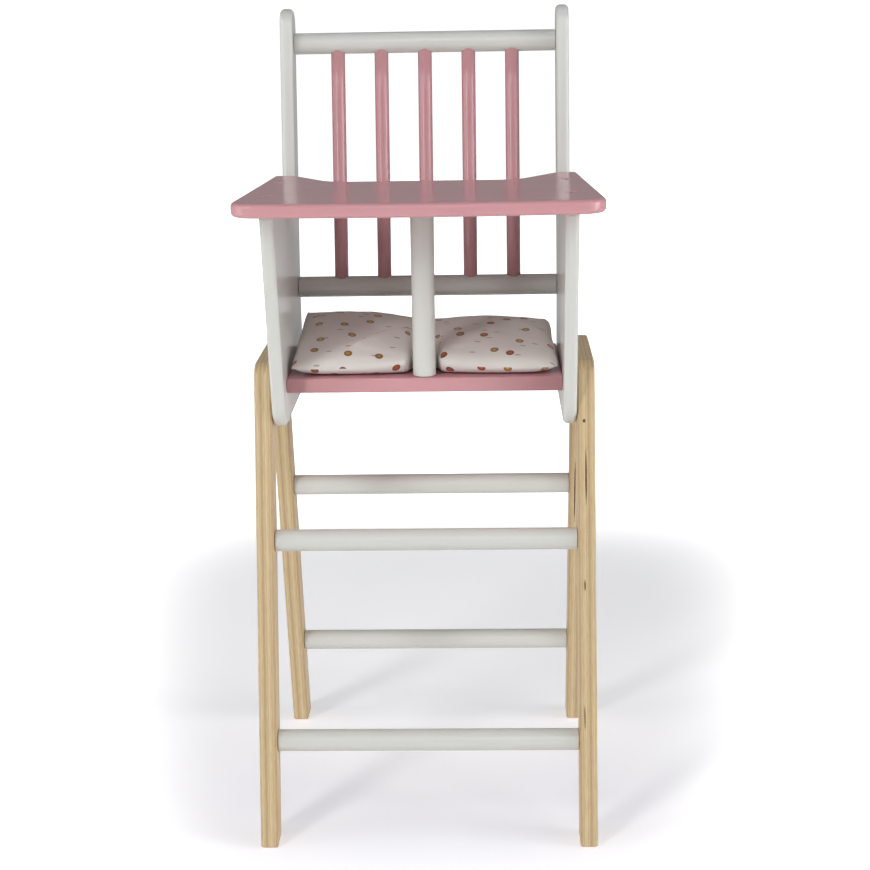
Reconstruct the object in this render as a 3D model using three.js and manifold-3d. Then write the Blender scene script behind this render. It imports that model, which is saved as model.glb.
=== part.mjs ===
// A wooden high chair for dolls: two plywood leg frames joined by four rungs, painted side panels that
// carry a seat board, a spindle back, a fixed tray and a crotch post, and a loose dotted seat cushion.
// Millimetres. +Z is up, the sitter faces -Y, and the origin is on the floor under the middle of the feet.
// Left and right are as seen from the front. The cushion is loose: it draws out backwards, under the rail.

import * as THREE from "three";
import { mergeVertices } from "three/addons/utils/BufferGeometryUtils.js";
import Module from "manifold-3d";

const wasm = await Module();
wasm.setup();

// Driving dimensions
const INNER_WIDTH = 188; // between the side panels
const FIT_GAP = 0.3; // left between pieces that touch
const BORE_CLEARANCE = 0.3; // round a dowel or a screw in its hole
const CUT_OVERRUN = 5; // how far a cutting tool runs past the face that it cuts

// Plywood leg frames
const PLY_THICKNESS = 12;
const FRAME_HEIGHT = 324;
const FOOT_SPREAD = 238; // toe of the front foot to heel of the rear foot
const LEG_LEAN = THREE.MathUtils.degToRad(12.2); // each leg, from upright
const LEG_WIDTH = 22; // square across the leg
const BAR_DEPTH = 42; // of the level bar that joins the legs
const KNEE_RADIUS = 12;
const CROTCH_RADIUS = 9; // inner corners, under the bar
const FOOT_RADIUS = 2.5;
const PLY_EASE = 1.8; // sanded edge of the plywood

// Rungs
const RUNG_DIAMETER = 15;
const FRONT_RUNG_HEIGHTS = { upper: 204, lower: 69 };
const REAR_RUNG_HEIGHTS = { upper: 206.5, lower: 70.5 };

// Side panels
const PANEL_THICKNESS = 9;
const PANEL_HEIGHT = 275; // from its bottom to the top of its post
const PANEL_LAP = 2; // how far the panel hangs below the frame's bar
const PANEL_FRONT = 57; // from the origin to the panel's front edge, along its bottom
const PANEL_REAR = 72; // from the origin to its upright rear edge
const ARM_REACH = 28.5; // how far the arm's top leans out ahead of the panel's bottom
const ARM_NOSE_RADIUS = 4;
const TIP_RADIUS = 18; // front lower corner
const HEEL_RADIUS = 16; // rear lower corner
const BEND_RADIUS = 90; // where the upright rear edge starts to lean
const POST_DEPTH = 28; // front to back, level
const POST_HEAD_RADIUS = 12.5;
const POST_FILLET = 5; // between the arm's top and the post
const PANEL_ROUNDING = 3; // painted edge

// Backrest
const BACK_LEAN = THREE.MathUtils.degToRad(9.4);
const RAIL_DIAMETER = 15;
const RAIL_INSET = 11.5; // from the panel's rear edge to the rails' axis
const LOWER_RAIL_RISE = 45.4; // above the seat
const TOP_RAIL_DROP = 24.6; // below the top of the posts
const SPINDLE_DIAMETER = 10;
const SPINDLE_COUNT = 5;
const SPINDLE_SOCKET_DEPTH = 4.5;

// Seat board
const SEAT_THICKNESS = 10;
const SEAT_RISE = 22.6; // underside of the seat above the panels' bottom
const SEAT_SETBACK = 20; // behind the panels' front edge
const SEAT_REAR_INSET = 4; // ahead of the panels' rear edge
const SEAT_EDGE_RADIUS = 1;

// Tray and crotch post
const TRAY_THICKNESS = 9.2;
const TRAY_RISE = 118.4; // underside above the seat
const TRAY_OVERHANG = 29.5; // ahead of the arms' front edge
const TRAY_SIDE_OVERHANG = 17.2; // of each front corner past the panel, before it is rounded
const TRAY_REAR_OVERHANG = 5; // of each rear corner past the panel, before it is rounded
const TRAY_FRONT_POINT = 10.7; // how far the bowed front edge's tangents meet ahead of its corners
const TRAY_BOW_RADIUS = 1150;
const TRAY_FRONT_RADIUS = 16;
const TRAY_HORN_RADIUS = 4;
const TRAY_HORN_GAP = 4; // to the post behind it
const TRAY_BAY_DEPTH = 41.5; // hollow of the rear edge
const TRAY_BAY_INSET = 1; // from each panel's inner face to the bay's lip, before it is rounded
const TRAY_BAY_FLANK = 29; // width of each slanting flank of the bay
const TRAY_BAY_LIP_RADIUS = 8;
const TRAY_BAY_CORNER_RADIUS = 26;
const TRAY_ROUNDING = 2.8;
const CROTCH_POST_DIAMETER = 15.6;
const CROTCH_POST_INSET = 0.6; // behind the seat's front edge
const CROTCH_SOCKET_DEPTH = 4;

// Countersunk socket screws
const SCREW_HEAD_DIAMETER = 7.6;
const SCREW_HEAD_HEIGHT = 2.2;
const SCREW_SHANK_DIAMETER = 3.8;
const SCREW_POINT_LENGTH = 3;
const SCREW_SOCKET_DIAMETER = 3.2; // across the corners of the hexagon
const SCREW_SOCKET_DEPTH = 1.5;
const SCREW_SINK = 0.2; // head below the surface
const RUNG_SCREW_LENGTH = 34;
const RAIL_SCREW_LENGTH = 29;
const SEAT_SCREW_LENGTH = 27;
const FRAME_SCREW_LENGTH = 19;
const TRAY_SCREW_LENGTH = 26;
const CROTCH_SCREW_LENGTH = 28;
const SEAT_SCREW_MARGIN = 17; // from the seat's front and rear edges
const FRAME_SCREW_INSET = 20; // from the leg's outer edge
const FRAME_SCREW_MARGIN = 11; // above the bar's underside
const TRAY_SCREW_FRONT_MARGIN = 17; // behind the arm's front edge
const TRAY_SCREW_SPACING = 73;

// Seat cushion
const CUSHION_SIDE_CLEARANCE = 1; // to each panel, at the front
const CUSHION_FRONT_INSET = 2.5; // behind the seat's front edge
const CUSHION_REAR_INSET = 15.5; // ahead of the seat's rear edge
const CUSHION_SEAM_FRONT = 5.5; // side seam above the seat, at the front
const CUSHION_SEAM_REAR_LEFT = 29.5; // at the rear the stuffing lifts the seam
const CUSHION_SEAM_REAR_RIGHT = 23;
const CUSHION_FRONT_CROWN = 6; // stuffing above the seam
const CUSHION_REAR_CROWN = 2;
const CUSHION_SWELL = 2.5; // further stuffing, halfway back
const CUSHION_WAIST = 0.8; // how far each side draws in between its corners
const CUSHION_TAPER = 4.2; // how much further in each side lies at the back
const CUSHION_LOBE_CORNER = 2.5; // how far each lobe's front corners round back
const CUSHION_REAR_CORNER = 3.6; // the same at the right rear corner
const CUSHION_SHARP_CORNER = 0.7; // and at the left rear one
const CUSHION_VALLEY = 5; // dip between the lobes, at the back
const CUSHION_VALLEY_WIDTH = 28;
const CUSHION_VALLEY_POWER = 3; // a higher power keeps the dip closer to the back
const CUSHION_NOTCH_CLEARANCE = 0.8; // to the crotch post
const CUSHION_NOTCH_FLARE = 6; // width over which each side of the notch opens
const CUSHION_COLUMNS = 36;
const CUSHION_ROWS = 14;
const CUSHION_CROWD_SHARE = 0.12; // how much the columns and rows crowd towards the seam
const CUSHION_FRONT_POWER = 14; // fullness of the front, the rest of the top and the underside
const CUSHION_TOP_POWER = 6; // a higher power is squarer
const CUSHION_BASE_POWER = 10;
const CUSHION_CORNER_POWER = 10; // a higher power rounds a shorter corner
const CUSHION_LOBE_POWER = 6; // the same for the lobes' front corners

// Smoothness
const ARC_STEPS = 5;
const DOWEL_SIDES = 28;
const SPINDLE_SIDES = 20;
const SCREW_SIDES = 12;
const SCREW_SOCKET_SIDES = 6;
const ROUNDING_STEPS = 2;

// Heights and places that follow from the sizes above
const barUnderside = FRAME_HEIGHT - BAR_DEPTH;
const panelBottom = barUnderside - PANEL_LAP;
const seatUnderside = panelBottom + SEAT_RISE;
const seatTop = seatUnderside + SEAT_THICKNESS;
const trayUnderside = seatTop + TRAY_RISE;
const trayTop = trayUnderside + TRAY_THICKNESS;
const armTop = trayUnderside - FIT_GAP;
const lowerRailHeight = seatTop + LOWER_RAIL_RISE;
const postTop = panelBottom + PANEL_HEIGHT;
const topRailHeight = postTop - TOP_RAIL_DROP;
const panelInner = INNER_WIDTH / 2;
const panelOuter = panelInner + PANEL_THICKNESS;
const panelMiddle = (panelInner + panelOuter) / 2;
const frameInner = panelOuter + FIT_GAP;
const frameOuter = frameInner + PLY_THICKNESS;
const legLevelWidth = LEG_WIDTH / Math.cos(LEG_LEAN);
const backSlope = Math.tan(BACK_LEAN);

// The outer edge of a leg at a height, measured from the middle of the frame.
function legReach(height) {
  return FOOT_SPREAD / 2 - height * Math.tan(LEG_LEAN);
}

// The middle of a leg at a height; facing is -1 for the front leg and 1 for the rear one.
function legMiddle(facing, height) {
  return facing * (legReach(height) - legLevelWidth / 2);
}

// The front edge of the arm's board at a height.
function armFront(height) {
  return -PANEL_FRONT - (ARM_REACH * (height - panelBottom)) / (armTop - panelBottom);
}

// The axis of the backrest at a height: the rails and the spindles lie on it.
function backAxis(height) {
  return PANEL_REAR - RAIL_INSET + (height - lowerRailHeight) * backSlope;
}

const postRear = (height) => backAxis(height) + RAIL_INSET;
const postFront = (height) => postRear(height) - POST_DEPTH;

const seatFront = armFront(seatTop) + SEAT_SETBACK;
const seatRear = PANEL_REAR - SEAT_REAR_INSET;
const crotchPostPlace = seatFront + CROTCH_POST_INSET + CROTCH_POST_DIAMETER / 2;
const trayFront = armFront(armTop) - TRAY_OVERHANG;
const trayRear = postFront(armTop) - TRAY_HORN_GAP;

// Materials
function material(color, roughness, metalness = 0) {
  return new THREE.MeshStandardMaterial({ color, roughness, metalness });
}
const birchPlywood = material("#dcc49b", 0.6);
const whitePaint = material("#dedfda", 0.35);
const pinkPaint = material("#d79ba8", 0.35);
const cotton = material("#ece4df", 0.95);
const zincSteel = material("#b8b9b7", 0.35, 0.9);

// Shapes with true arcs at their corners. A corner is [across, up, radius].
function roundedShape(corners) {
  const shape = new THREE.Shape();
  const count = corners.length;
  corners.forEach(([x, y, radius], i) => {
    const here = new THREE.Vector2(x, y);
    if (radius === 0) {
      if (i === 0) shape.moveTo(x, y);
      else shape.lineTo(x, y);
      return;
    }
    const [px, py] = corners[(i + count - 1) % count];
    const [nx, ny] = corners[(i + 1) % count];
    const back = new THREE.Vector2(px, py).sub(here).normalize();
    const ahead = new THREE.Vector2(nx, ny).sub(here).normalize();
    const half = Math.acos(back.dot(ahead)) / 2;
    const start = back.clone().multiplyScalar(radius / Math.tan(half)).add(here);
    const end = ahead.clone().multiplyScalar(radius / Math.tan(half)).add(here);
    const middle = back.clone().add(ahead).normalize();
    const centre = middle.multiplyScalar(radius / Math.sin(half)).add(here);
    const clockwise = back.cross(ahead) > 0;
    const from = start.clone().sub(centre).angle();
    const to = end.clone().sub(centre).angle();
    if (i === 0) shape.moveTo(start.x, start.y);
    else shape.lineTo(start.x, start.y);
    shape.absarc(centre.x, centre.y, radius, from, to, clockwise);
  });
  shape.closePath();
  return shape;
}

// A board cut from a shape, its edges rounded, lying from z = 0 to its thickness.
function board(shape, thickness, rounding, steps) {
  const geometry = new THREE.ExtrudeGeometry(shape, {
    depth: thickness - 2 * rounding,
    curveSegments: ARC_STEPS,
    bevelEnabled: true,
    bevelThickness: rounding,
    bevelSize: rounding,
    bevelOffset: -rounding,
    bevelSegments: steps,
  });
  return geometry.translate(0, 0, rounding);
}

// Stands a board up on its edge: across becomes Y, up becomes Z, and the thickness runs along X.
const onEdge = new THREE.Matrix4().makeBasis(
  new THREE.Vector3(0, 1, 0),
  new THREE.Vector3(0, 0, 1),
  new THREE.Vector3(1, 0, 0),
);

function asSolid(geometry) {
  const bare = geometry.index ? geometry.toNonIndexed() : geometry.clone();
  bare.deleteAttribute("normal");
  bare.deleteAttribute("uv");
  const merged = mergeVertices(bare);
  return new wasm.Manifold(
    new wasm.Mesh({
      numProp: 3,
      vertProperties: merged.attributes.position.array,
      triVerts: new Uint32Array(merged.index.array),
    }),
  );
}

function asGeometry(solid) {
  const mesh = solid.getMesh();
  const geometry = new THREE.BufferGeometry();
  geometry.setAttribute("position", new THREE.BufferAttribute(mesh.vertProperties, 3));
  geometry.setIndex(new THREE.BufferAttribute(mesh.triVerts, 1));
  geometry.computeVertexNormals();
  return geometry;
}

function cut(geometry, tools) {
  let solid = asSolid(geometry);
  for (const tool of tools) solid = solid.subtract(asSolid(tool));
  return asGeometry(solid);
}

// Turns a geometry whose axis is +Y to point along a direction, and puts its origin at a place.
const up = new THREE.Vector3(0, 1, 0);
function aim(geometry, direction, place) {
  const turn = new THREE.Quaternion().setFromUnitVectors(up, direction);
  return geometry.applyQuaternion(turn).translate(place.x, place.y, place.z);
}

const rightward = new THREE.Vector3(1, 0, 0);
const upward = new THREE.Vector3(0, 0, 1);
const downward = new THREE.Vector3(0, 0, -1);
const leaning = new THREE.Vector3(0, Math.sin(BACK_LEAN), Math.cos(BACK_LEAN));

// A round bar along X, centred on the middle of the chair.
function crossBar(diameter, length, y, z) {
  const bar = new THREE.CylinderGeometry(diameter / 2, diameter / 2, length, DOWEL_SIDES);
  return aim(bar, rightward, new THREE.Vector3(0, y, z));
}

// Screws: the head's top is at the origin and the point is at -length, along Y.
function screwOutline(length, clearance, overrun) {
  const head = SCREW_HEAD_DIAMETER / 2 + clearance;
  const shank = SCREW_SHANK_DIAMETER / 2 + clearance;
  return [
    new THREE.Vector2(0, -length - clearance),
    new THREE.Vector2(shank, -length + SCREW_POINT_LENGTH),
    new THREE.Vector2(shank, -SCREW_HEAD_HEIGHT),
    new THREE.Vector2(head, 0),
    new THREE.Vector2(head, overrun),
    new THREE.Vector2(0, overrun),
  ];
}

function screwGeometry(length) {
  const outline = screwOutline(length, 0, 0).filter((point, i) => i !== 4);
  const socket = new THREE.CylinderGeometry(
    SCREW_SOCKET_DIAMETER / 2,
    SCREW_SOCKET_DIAMETER / 2,
    SCREW_SOCKET_DEPTH * 2,
    SCREW_SOCKET_SIDES,
  );
  return cut(new THREE.LatheGeometry(outline, SCREW_SIDES), [socket]);
}

function screwHole(screw) {
  const outline = screwOutline(screw.length, BORE_CLEARANCE, CUT_OVERRUN);
  const drill = new THREE.LatheGeometry(outline, SCREW_SIDES);
  return aim(drill, screw.outward, screw.place);
}

// A screw's seat: its length, the way its head faces and the middle of its head's top.
function screwSeat(name, length, outward, face) {
  const place = face.clone().addScaledVector(outward, -SCREW_SINK);
  return { name, length, outward, place };
}

// Every screw of the right-hand side; the left-hand side mirrors them.
const legs = [
  ["front", -1, FRONT_RUNG_HEIGHTS],
  ["rear", 1, REAR_RUNG_HEIGHTS],
];
const rungs = legs.flatMap(([end, facing, heights]) =>
  ["upper", "lower"].map((level) => ({
    name: `${end}_${level}_rung`,
    y: legMiddle(facing, heights[level]),
    z: heights[level],
  })),
);
const rails = [
  { name: "backrest_top_rail", y: backAxis(topRailHeight), z: topRailHeight },
  { name: "backrest_lower_rail", y: backAxis(lowerRailHeight), z: lowerRailHeight },
];
const rungScrews = rungs.map((rung) => {
  const face = new THREE.Vector3(frameOuter, rung.y, rung.z);
  return screwSeat(`${rung.name}_screw`, RUNG_SCREW_LENGTH, rightward, face);
});
const railScrews = rails.map((rail) => {
  const face = new THREE.Vector3(panelOuter, rail.y, rail.z);
  return screwSeat(`${rail.name}_screw`, RAIL_SCREW_LENGTH, rightward, face);
});
const seatScrews = [
  ["front", seatFront + SEAT_SCREW_MARGIN],
  ["rear", seatRear - SEAT_SCREW_MARGIN],
].map(([end, y]) => {
  const face = new THREE.Vector3(panelOuter, y, seatUnderside + SEAT_THICKNESS / 2);
  return screwSeat(`seat_${end}_screw`, SEAT_SCREW_LENGTH, rightward, face);
});
const frameScrews = [
  ["front", -1],
  ["rear", 1],
].map(([end, facing]) => {
  const z = barUnderside + FRAME_SCREW_MARGIN;
  const face = new THREE.Vector3(frameOuter, facing * (legReach(z) - FRAME_SCREW_INSET), z);
  return screwSeat(`frame_${end}_screw`, FRAME_SCREW_LENGTH, rightward, face);
});
const trayScrews = ["front", "rear"].map((end, i) => {
  const y = armFront(armTop) + TRAY_SCREW_FRONT_MARGIN + i * TRAY_SCREW_SPACING;
  const face = new THREE.Vector3(panelMiddle, y, trayTop);
  return screwSeat(`tray_${end}_screw`, TRAY_SCREW_LENGTH, upward, face);
});
const crotchScrew = screwSeat(
  "crotch_post_screw",
  CROTCH_SCREW_LENGTH,
  downward,
  new THREE.Vector3(0, crotchPostPlace, seatUnderside),
);

// The same seats on both sides of the chair.
function bothSides(seats) {
  return seats.flatMap((seat) =>
    [1, -1].map((side) => ({
      ...seat,
      outward: seat.outward.clone().setX(seat.outward.x * side),
      place: seat.place.clone().setX(seat.place.x * side),
    })),
  );
}

// A leg frame: one plywood arch, on its edge at the right of the chair.
function legFrame() {
  const foot = legReach(0);
  const knee = legReach(FRAME_HEIGHT);
  const innerFoot = foot - legLevelWidth;
  const innerTop = legReach(barUnderside) - legLevelWidth;
  const shape = roundedShape([
    [-foot, 0, FOOT_RADIUS],
    [-innerFoot, 0, FOOT_RADIUS],
    [-innerTop, barUnderside, CROTCH_RADIUS],
    [innerTop, barUnderside, CROTCH_RADIUS],
    [innerFoot, 0, FOOT_RADIUS],
    [foot, 0, FOOT_RADIUS],
    [knee, FRAME_HEIGHT, KNEE_RADIUS],
    [-knee, FRAME_HEIGHT, KNEE_RADIUS],
  ]);
  const plate = board(shape, PLY_THICKNESS, PLY_EASE, ROUNDING_STEPS).applyMatrix4(onEdge);
  plate.translate(frameInner, 0, 0);
  return cut(plate, [...rungScrews, ...frameScrews].map(screwHole));
}

// A side panel: arm, post and lower lap in one board, at the right of the chair.
function sidePanel() {
  const shape = roundedShape([
    [-PANEL_FRONT, panelBottom, TIP_RADIUS],
    [PANEL_REAR, panelBottom, HEEL_RADIUS],
    [PANEL_REAR, lowerRailHeight, BEND_RADIUS],
    [postRear(postTop), postTop, POST_HEAD_RADIUS],
    [postFront(postTop), postTop, POST_HEAD_RADIUS],
    [postFront(armTop), armTop, POST_FILLET],
    [armFront(armTop), armTop, ARM_NOSE_RADIUS],
  ]);
  const plate = board(shape, PANEL_THICKNESS, PANEL_ROUNDING, ROUNDING_STEPS).applyMatrix4(onEdge);
  plate.translate(panelInner, 0, 0);
  return cut(plate, [...railScrews, ...seatScrews, ...frameScrews, ...trayScrews].map(screwHole));
}

function rungGeometry(rung) {
  const bar = crossBar(RUNG_DIAMETER, 2 * (frameInner - FIT_GAP), rung.y, rung.z);
  const own = rungScrews.filter((screw) => screw.name.startsWith(rung.name));
  return cut(bar, bothSides(own).map(screwHole));
}

// Places of the spindles along the rails, evenly spaced between the panels.
const spindlePlaces = Array.from(
  { length: SPINDLE_COUNT },
  (_, i) => ((i + 1) * INNER_WIDTH) / (SPINDLE_COUNT + 1) - panelInner,
);

function spindleRod(radius, extra, x) {
  const rise = topRailHeight - lowerRailHeight;
  const span = rise / Math.cos(BACK_LEAN) - RAIL_DIAMETER + 2 * (SPINDLE_SOCKET_DEPTH + extra);
  const rod = new THREE.CylinderGeometry(radius, radius, span, SPINDLE_SIDES);
  const middle = lowerRailHeight + rise / 2;
  return aim(rod, leaning, new THREE.Vector3(x, backAxis(middle), middle));
}

function railGeometry(rail) {
  const bar = crossBar(RAIL_DIAMETER, 2 * (panelInner - FIT_GAP), rail.y, rail.z);
  const sockets = spindlePlaces.map((x) =>
    spindleRod(SPINDLE_DIAMETER / 2 + BORE_CLEARANCE, FIT_GAP, x),
  );
  const own = railScrews.filter((screw) => screw.name.startsWith(rail.name));
  return cut(bar, [...sockets, ...bothSides(own).map(screwHole)]);
}

function seatBoard() {
  const half = panelInner - FIT_GAP;
  const shape = roundedShape([
    [-half, seatFront, 0],
    [half, seatFront, 0],
    [half, seatRear, 0],
    [-half, seatRear, 0],
  ]);
  const plate = board(shape, SEAT_THICKNESS, SEAT_EDGE_RADIUS, 1);
  plate.translate(0, 0, seatUnderside);
  return cut(plate, [...bothSides(seatScrews), crotchScrew].map(screwHole));
}

function crotchPost() {
  const foot = seatTop + FIT_GAP;
  const head = trayUnderside + CROTCH_SOCKET_DEPTH - FIT_GAP;
  const radius = CROTCH_POST_DIAMETER / 2;
  const rod = new THREE.CylinderGeometry(radius, radius, head - foot, DOWEL_SIDES);
  aim(rod, upward, new THREE.Vector3(0, crotchPostPlace, (foot + head) / 2));
  return cut(rod, [screwHole(crotchScrew)]);
}

// The tray: a bowed front edge between round corners, sides that draw in, and a bay in the rear edge.
function trayShape() {
  const half = panelOuter + TRAY_SIDE_OVERHANG;
  const rearHalf = panelOuter + TRAY_REAR_OVERHANG;
  const bayHalf = panelInner - TRAY_BAY_INSET;
  const floorHalf = bayHalf - TRAY_BAY_FLANK;
  const slope = Math.atan(TRAY_FRONT_POINT / half);
  const point = trayFront - TRAY_BOW_RADIUS * (1 / Math.cos(slope) - 1);
  const corner = point + TRAY_FRONT_POINT;
  const bayFloor = trayRear - TRAY_BAY_DEPTH;
  return roundedShape([
    [-half, corner, TRAY_FRONT_RADIUS],
    [0, point, TRAY_BOW_RADIUS],
    [half, corner, TRAY_FRONT_RADIUS],
    [rearHalf, trayRear, TRAY_HORN_RADIUS],
    [bayHalf, trayRear, TRAY_BAY_LIP_RADIUS],
    [floorHalf, bayFloor, TRAY_BAY_CORNER_RADIUS],
    [-floorHalf, bayFloor, TRAY_BAY_CORNER_RADIUS],
    [-bayHalf, trayRear, TRAY_BAY_LIP_RADIUS],
    [-rearHalf, trayRear, TRAY_HORN_RADIUS],
  ]);
}

function tray() {
  const plate = board(trayShape(), TRAY_THICKNESS, TRAY_ROUNDING, ROUNDING_STEPS);
  plate.translate(0, 0, trayUnderside);
  const radius = CROTCH_POST_DIAMETER / 2 + BORE_CLEARANCE;
  const socket = new THREE.CylinderGeometry(radius, radius, 2 * CROTCH_SOCKET_DEPTH, DOWEL_SIDES);
  aim(socket, upward, new THREE.Vector3(0, crotchPostPlace, trayUnderside));
  return cut(plate, [socket, ...bothSides(trayScrews).map(screwHole)]);
}

// The cushion: two plump lobes with a notch between them for the crotch post, seamed round its edge.
function cushion() {
  const front = seatFront + CUSHION_FRONT_INSET;
  const rear = seatRear - CUSHION_REAR_INSET;
  const half = panelInner - CUSHION_SIDE_CLEARANCE;
  const base = seatTop + FIT_GAP;
  const notchHalf = CROTCH_POST_DIAMETER / 2 + CUSHION_NOTCH_CLEARANCE;
  const notchDepth = crotchPostPlace + notchHalf - front;
  const crowd = (t) => t + (CUSHION_CROWD_SHARE * Math.sin(2 * Math.PI * t)) / (2 * Math.PI);
  const arch = (s, power) => Math.sqrt(Math.max(0, 1 - Math.abs(s) ** power));
  const smooth = THREE.MathUtils.smoothstep;
  const lerp = THREE.MathUtils.lerp;

  // A point of the top or the underside, by its column from the left and its row from the front.
  const point = (column, row, above) => {
    const u = 2 * crowd(column / CUSHION_COLUMNS) - 1;
    const v = crowd(row / CUSHION_ROWS);
    const ends = Math.abs(2 * v - 1);
    const halfway = 1 - ends * ends;
    const rearCorner = u > 0 ? CUSHION_REAR_CORNER : CUSHION_SHARP_CORNER;
    const corner = (v > 0.5 ? rearCorner : CUSHION_SHARP_CORNER) * ends ** CUSHION_CORNER_POWER;
    const x = u * (half - CUSHION_TAPER * v * v - CUSHION_WAIST * halfway - corner);
    const lobe = Math.abs((2 * (Math.abs(x) - notchHalf)) / (half - notchHalf) - 1);
    const open = 1 - smooth(Math.abs(x), notchHalf, notchHalf + CUSHION_NOTCH_FLARE);
    const frontDraw = CUSHION_LOBE_CORNER * Math.min(lobe, 1) ** CUSHION_LOBE_POWER;
    const rearDraw = CUSHION_WAIST * (1 - u * u) + rearCorner * Math.abs(u) ** CUSHION_CORNER_POWER;
    const y = lerp(front + Math.max(frontDraw, notchDepth * open), rear - rearDraw, v);
    const rearSeam = lerp(CUSHION_SEAM_REAR_LEFT, CUSHION_SEAM_REAR_RIGHT, smooth(u, -1, 1));
    const dip = CUSHION_VALLEY * Math.exp(-((x / CUSHION_VALLEY_WIDTH) ** 2)) * v ** CUSHION_VALLEY_POWER;
    const seam = lerp(CUSHION_SEAM_FRONT, rearSeam, v) - dip;
    const crown = lerp(CUSHION_FRONT_CROWN, CUSHION_REAR_CROWN, v) + CUSHION_SWELL * halfway;
    const fullness = v < 0.5 ? CUSHION_FRONT_POWER : CUSHION_TOP_POWER;
    const rise = crown * arch(u, CUSHION_TOP_POWER) * arch(2 * v - 1, fullness);
    const sink = seam * arch(u, CUSHION_BASE_POWER) * arch(2 * v - 1, CUSHION_BASE_POWER);
    return [x, y, base + (above ? seam + rise : seam - sink)];
  };

  const positions = [];
  const quad = (a, b, c, d) => positions.push(...a, ...b, ...c, ...a, ...c, ...d);
  for (let i = 0; i < CUSHION_COLUMNS; i++) {
    for (let j = 0; j < CUSHION_ROWS; j++) {
      const corners = [[i, j], [i + 1, j], [i + 1, j + 1], [i, j + 1]];
      quad(...corners.map(([column, row]) => point(column, row, true)));
      quad(...corners.reverse().map(([column, row]) => point(column, row, false)));
    }
  }
  const geometry = new THREE.BufferGeometry();
  geometry.setAttribute("position", new THREE.Float32BufferAttribute(positions, 3));
  return asGeometry(asSolid(geometry));
}

// The chair
const chair = new THREE.Group();

function add(name, geometry, finish) {
  const mesh = new THREE.Mesh(geometry, finish);
  mesh.name = name;
  chair.add(mesh);
  return mesh;
}

// A piece made for the right-hand side, and its mirror image at the left.
function addPair(name, geometry, finish) {
  add(`right_${name}`, geometry, finish);
  add(`left_${name}`, geometry, finish).scale.x = -1;
}

addPair("leg_frame", legFrame(), birchPlywood);
addPair("side_panel", sidePanel(), whitePaint);
for (const rung of rungs) add(rung.name, rungGeometry(rung), whitePaint);
for (const rail of rails) add(rail.name, railGeometry(rail), whitePaint);
spindlePlaces.forEach((x, i) => {
  add(`spindle_${i + 1}`, spindleRod(SPINDLE_DIAMETER / 2, 0, x), pinkPaint);
});
add("seat_board", seatBoard(), pinkPaint);
add("tray", tray(), pinkPaint);
add("crotch_post", crotchPost(), whitePaint);
for (const screw of [...rungScrews, ...railScrews, ...seatScrews, ...frameScrews, ...trayScrews]) {
  addPair(screw.name, aim(screwGeometry(screw.length), screw.outward, screw.place), zincSteel);
}
add(crotchScrew.name, aim(screwGeometry(crotchScrew.length), downward, crotchScrew.place), zincSteel);
add("seat_cushion", cushion(), cotton);

export default chair;
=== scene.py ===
"""Finishes for a doll high chair: painted boards and dowels, sealed plywood leg frames and a printed cushion.

Every length is in metres. +Z is up, the sitter faces -Y, and left and right are as seen from the front.
"""

import math

import bmesh
import bpy
from bpy.props import FloatProperty, FloatVectorProperty, IntProperty, PointerProperty
from mathutils import Matrix, Vector, noise
from mathutils.geometry import tessellate_polygon


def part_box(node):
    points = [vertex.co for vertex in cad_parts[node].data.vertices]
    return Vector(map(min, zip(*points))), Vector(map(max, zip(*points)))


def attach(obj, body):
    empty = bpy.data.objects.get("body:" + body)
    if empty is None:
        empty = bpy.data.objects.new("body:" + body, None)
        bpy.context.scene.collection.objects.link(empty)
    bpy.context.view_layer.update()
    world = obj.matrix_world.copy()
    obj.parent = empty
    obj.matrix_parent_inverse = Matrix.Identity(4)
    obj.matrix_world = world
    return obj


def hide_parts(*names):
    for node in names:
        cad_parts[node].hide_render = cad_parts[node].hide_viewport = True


bl_info = {
    "name": "Doll high chair",
    "version": (1, 0, 0),
    "blender": (4, 5, 0),
    "location": "View3D > Sidebar > Doll chair",
    "description": "Builds the boards, dowels, screws and cushion of a doll high chair",
    "category": "Add Mesh",
}

MM = 0.001
# Voids in the right legs' edges, where an inner layer stops short. They are painted dark brown, a painted
# shade for a hollow that the surface has only as a bump. Columns: place across, front to back and up, and
# half sizes across and up.
VOIDS = (
    (108.8 * MM, -65 * MM, 248 * MM, 0.6 * MM, 18 * MM),
    (107.6 * MM, -81 * MM, 176 * MM, 0.5 * MM, 3.5 * MM),
    (106.9 * MM, -100 * MM, 88 * MM, 0.4 * MM, 8 * MM),
    (107.7 * MM, -57 * MM, 285 * MM, 0.9 * MM, 1.2 * MM),
    (107.2 * MM, 53 * MM, 203 * MM, 0.5 * MM, 26 * MM),
)
VOID_HALF_DEPTH = 20 * MM

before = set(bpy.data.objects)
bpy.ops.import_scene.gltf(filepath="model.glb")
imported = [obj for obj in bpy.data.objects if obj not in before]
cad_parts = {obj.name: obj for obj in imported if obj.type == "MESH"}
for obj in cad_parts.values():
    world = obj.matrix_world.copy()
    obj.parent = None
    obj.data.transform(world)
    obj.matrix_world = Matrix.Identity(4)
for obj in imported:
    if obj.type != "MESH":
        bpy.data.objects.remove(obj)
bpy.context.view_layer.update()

SIDES = {"right": 1, "left": -1}
RUNGS = ("front_upper_rung", "front_lower_rung", "rear_upper_rung", "rear_lower_rung")
RAILS = ("backrest_top_rail", "backrest_lower_rail")
SPINDLES = tuple(name for name in sorted(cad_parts) if name.startswith("spindle_"))
SCREWS = tuple(name for name in sorted(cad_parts) if name.endswith("_screw"))


def middle(node):
    """The middle of a frame node's box."""
    low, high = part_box(node)
    return (low + high) / 2


def extent(node):
    """The size of a frame node's box."""
    low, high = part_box(node)
    return high - low


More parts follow.
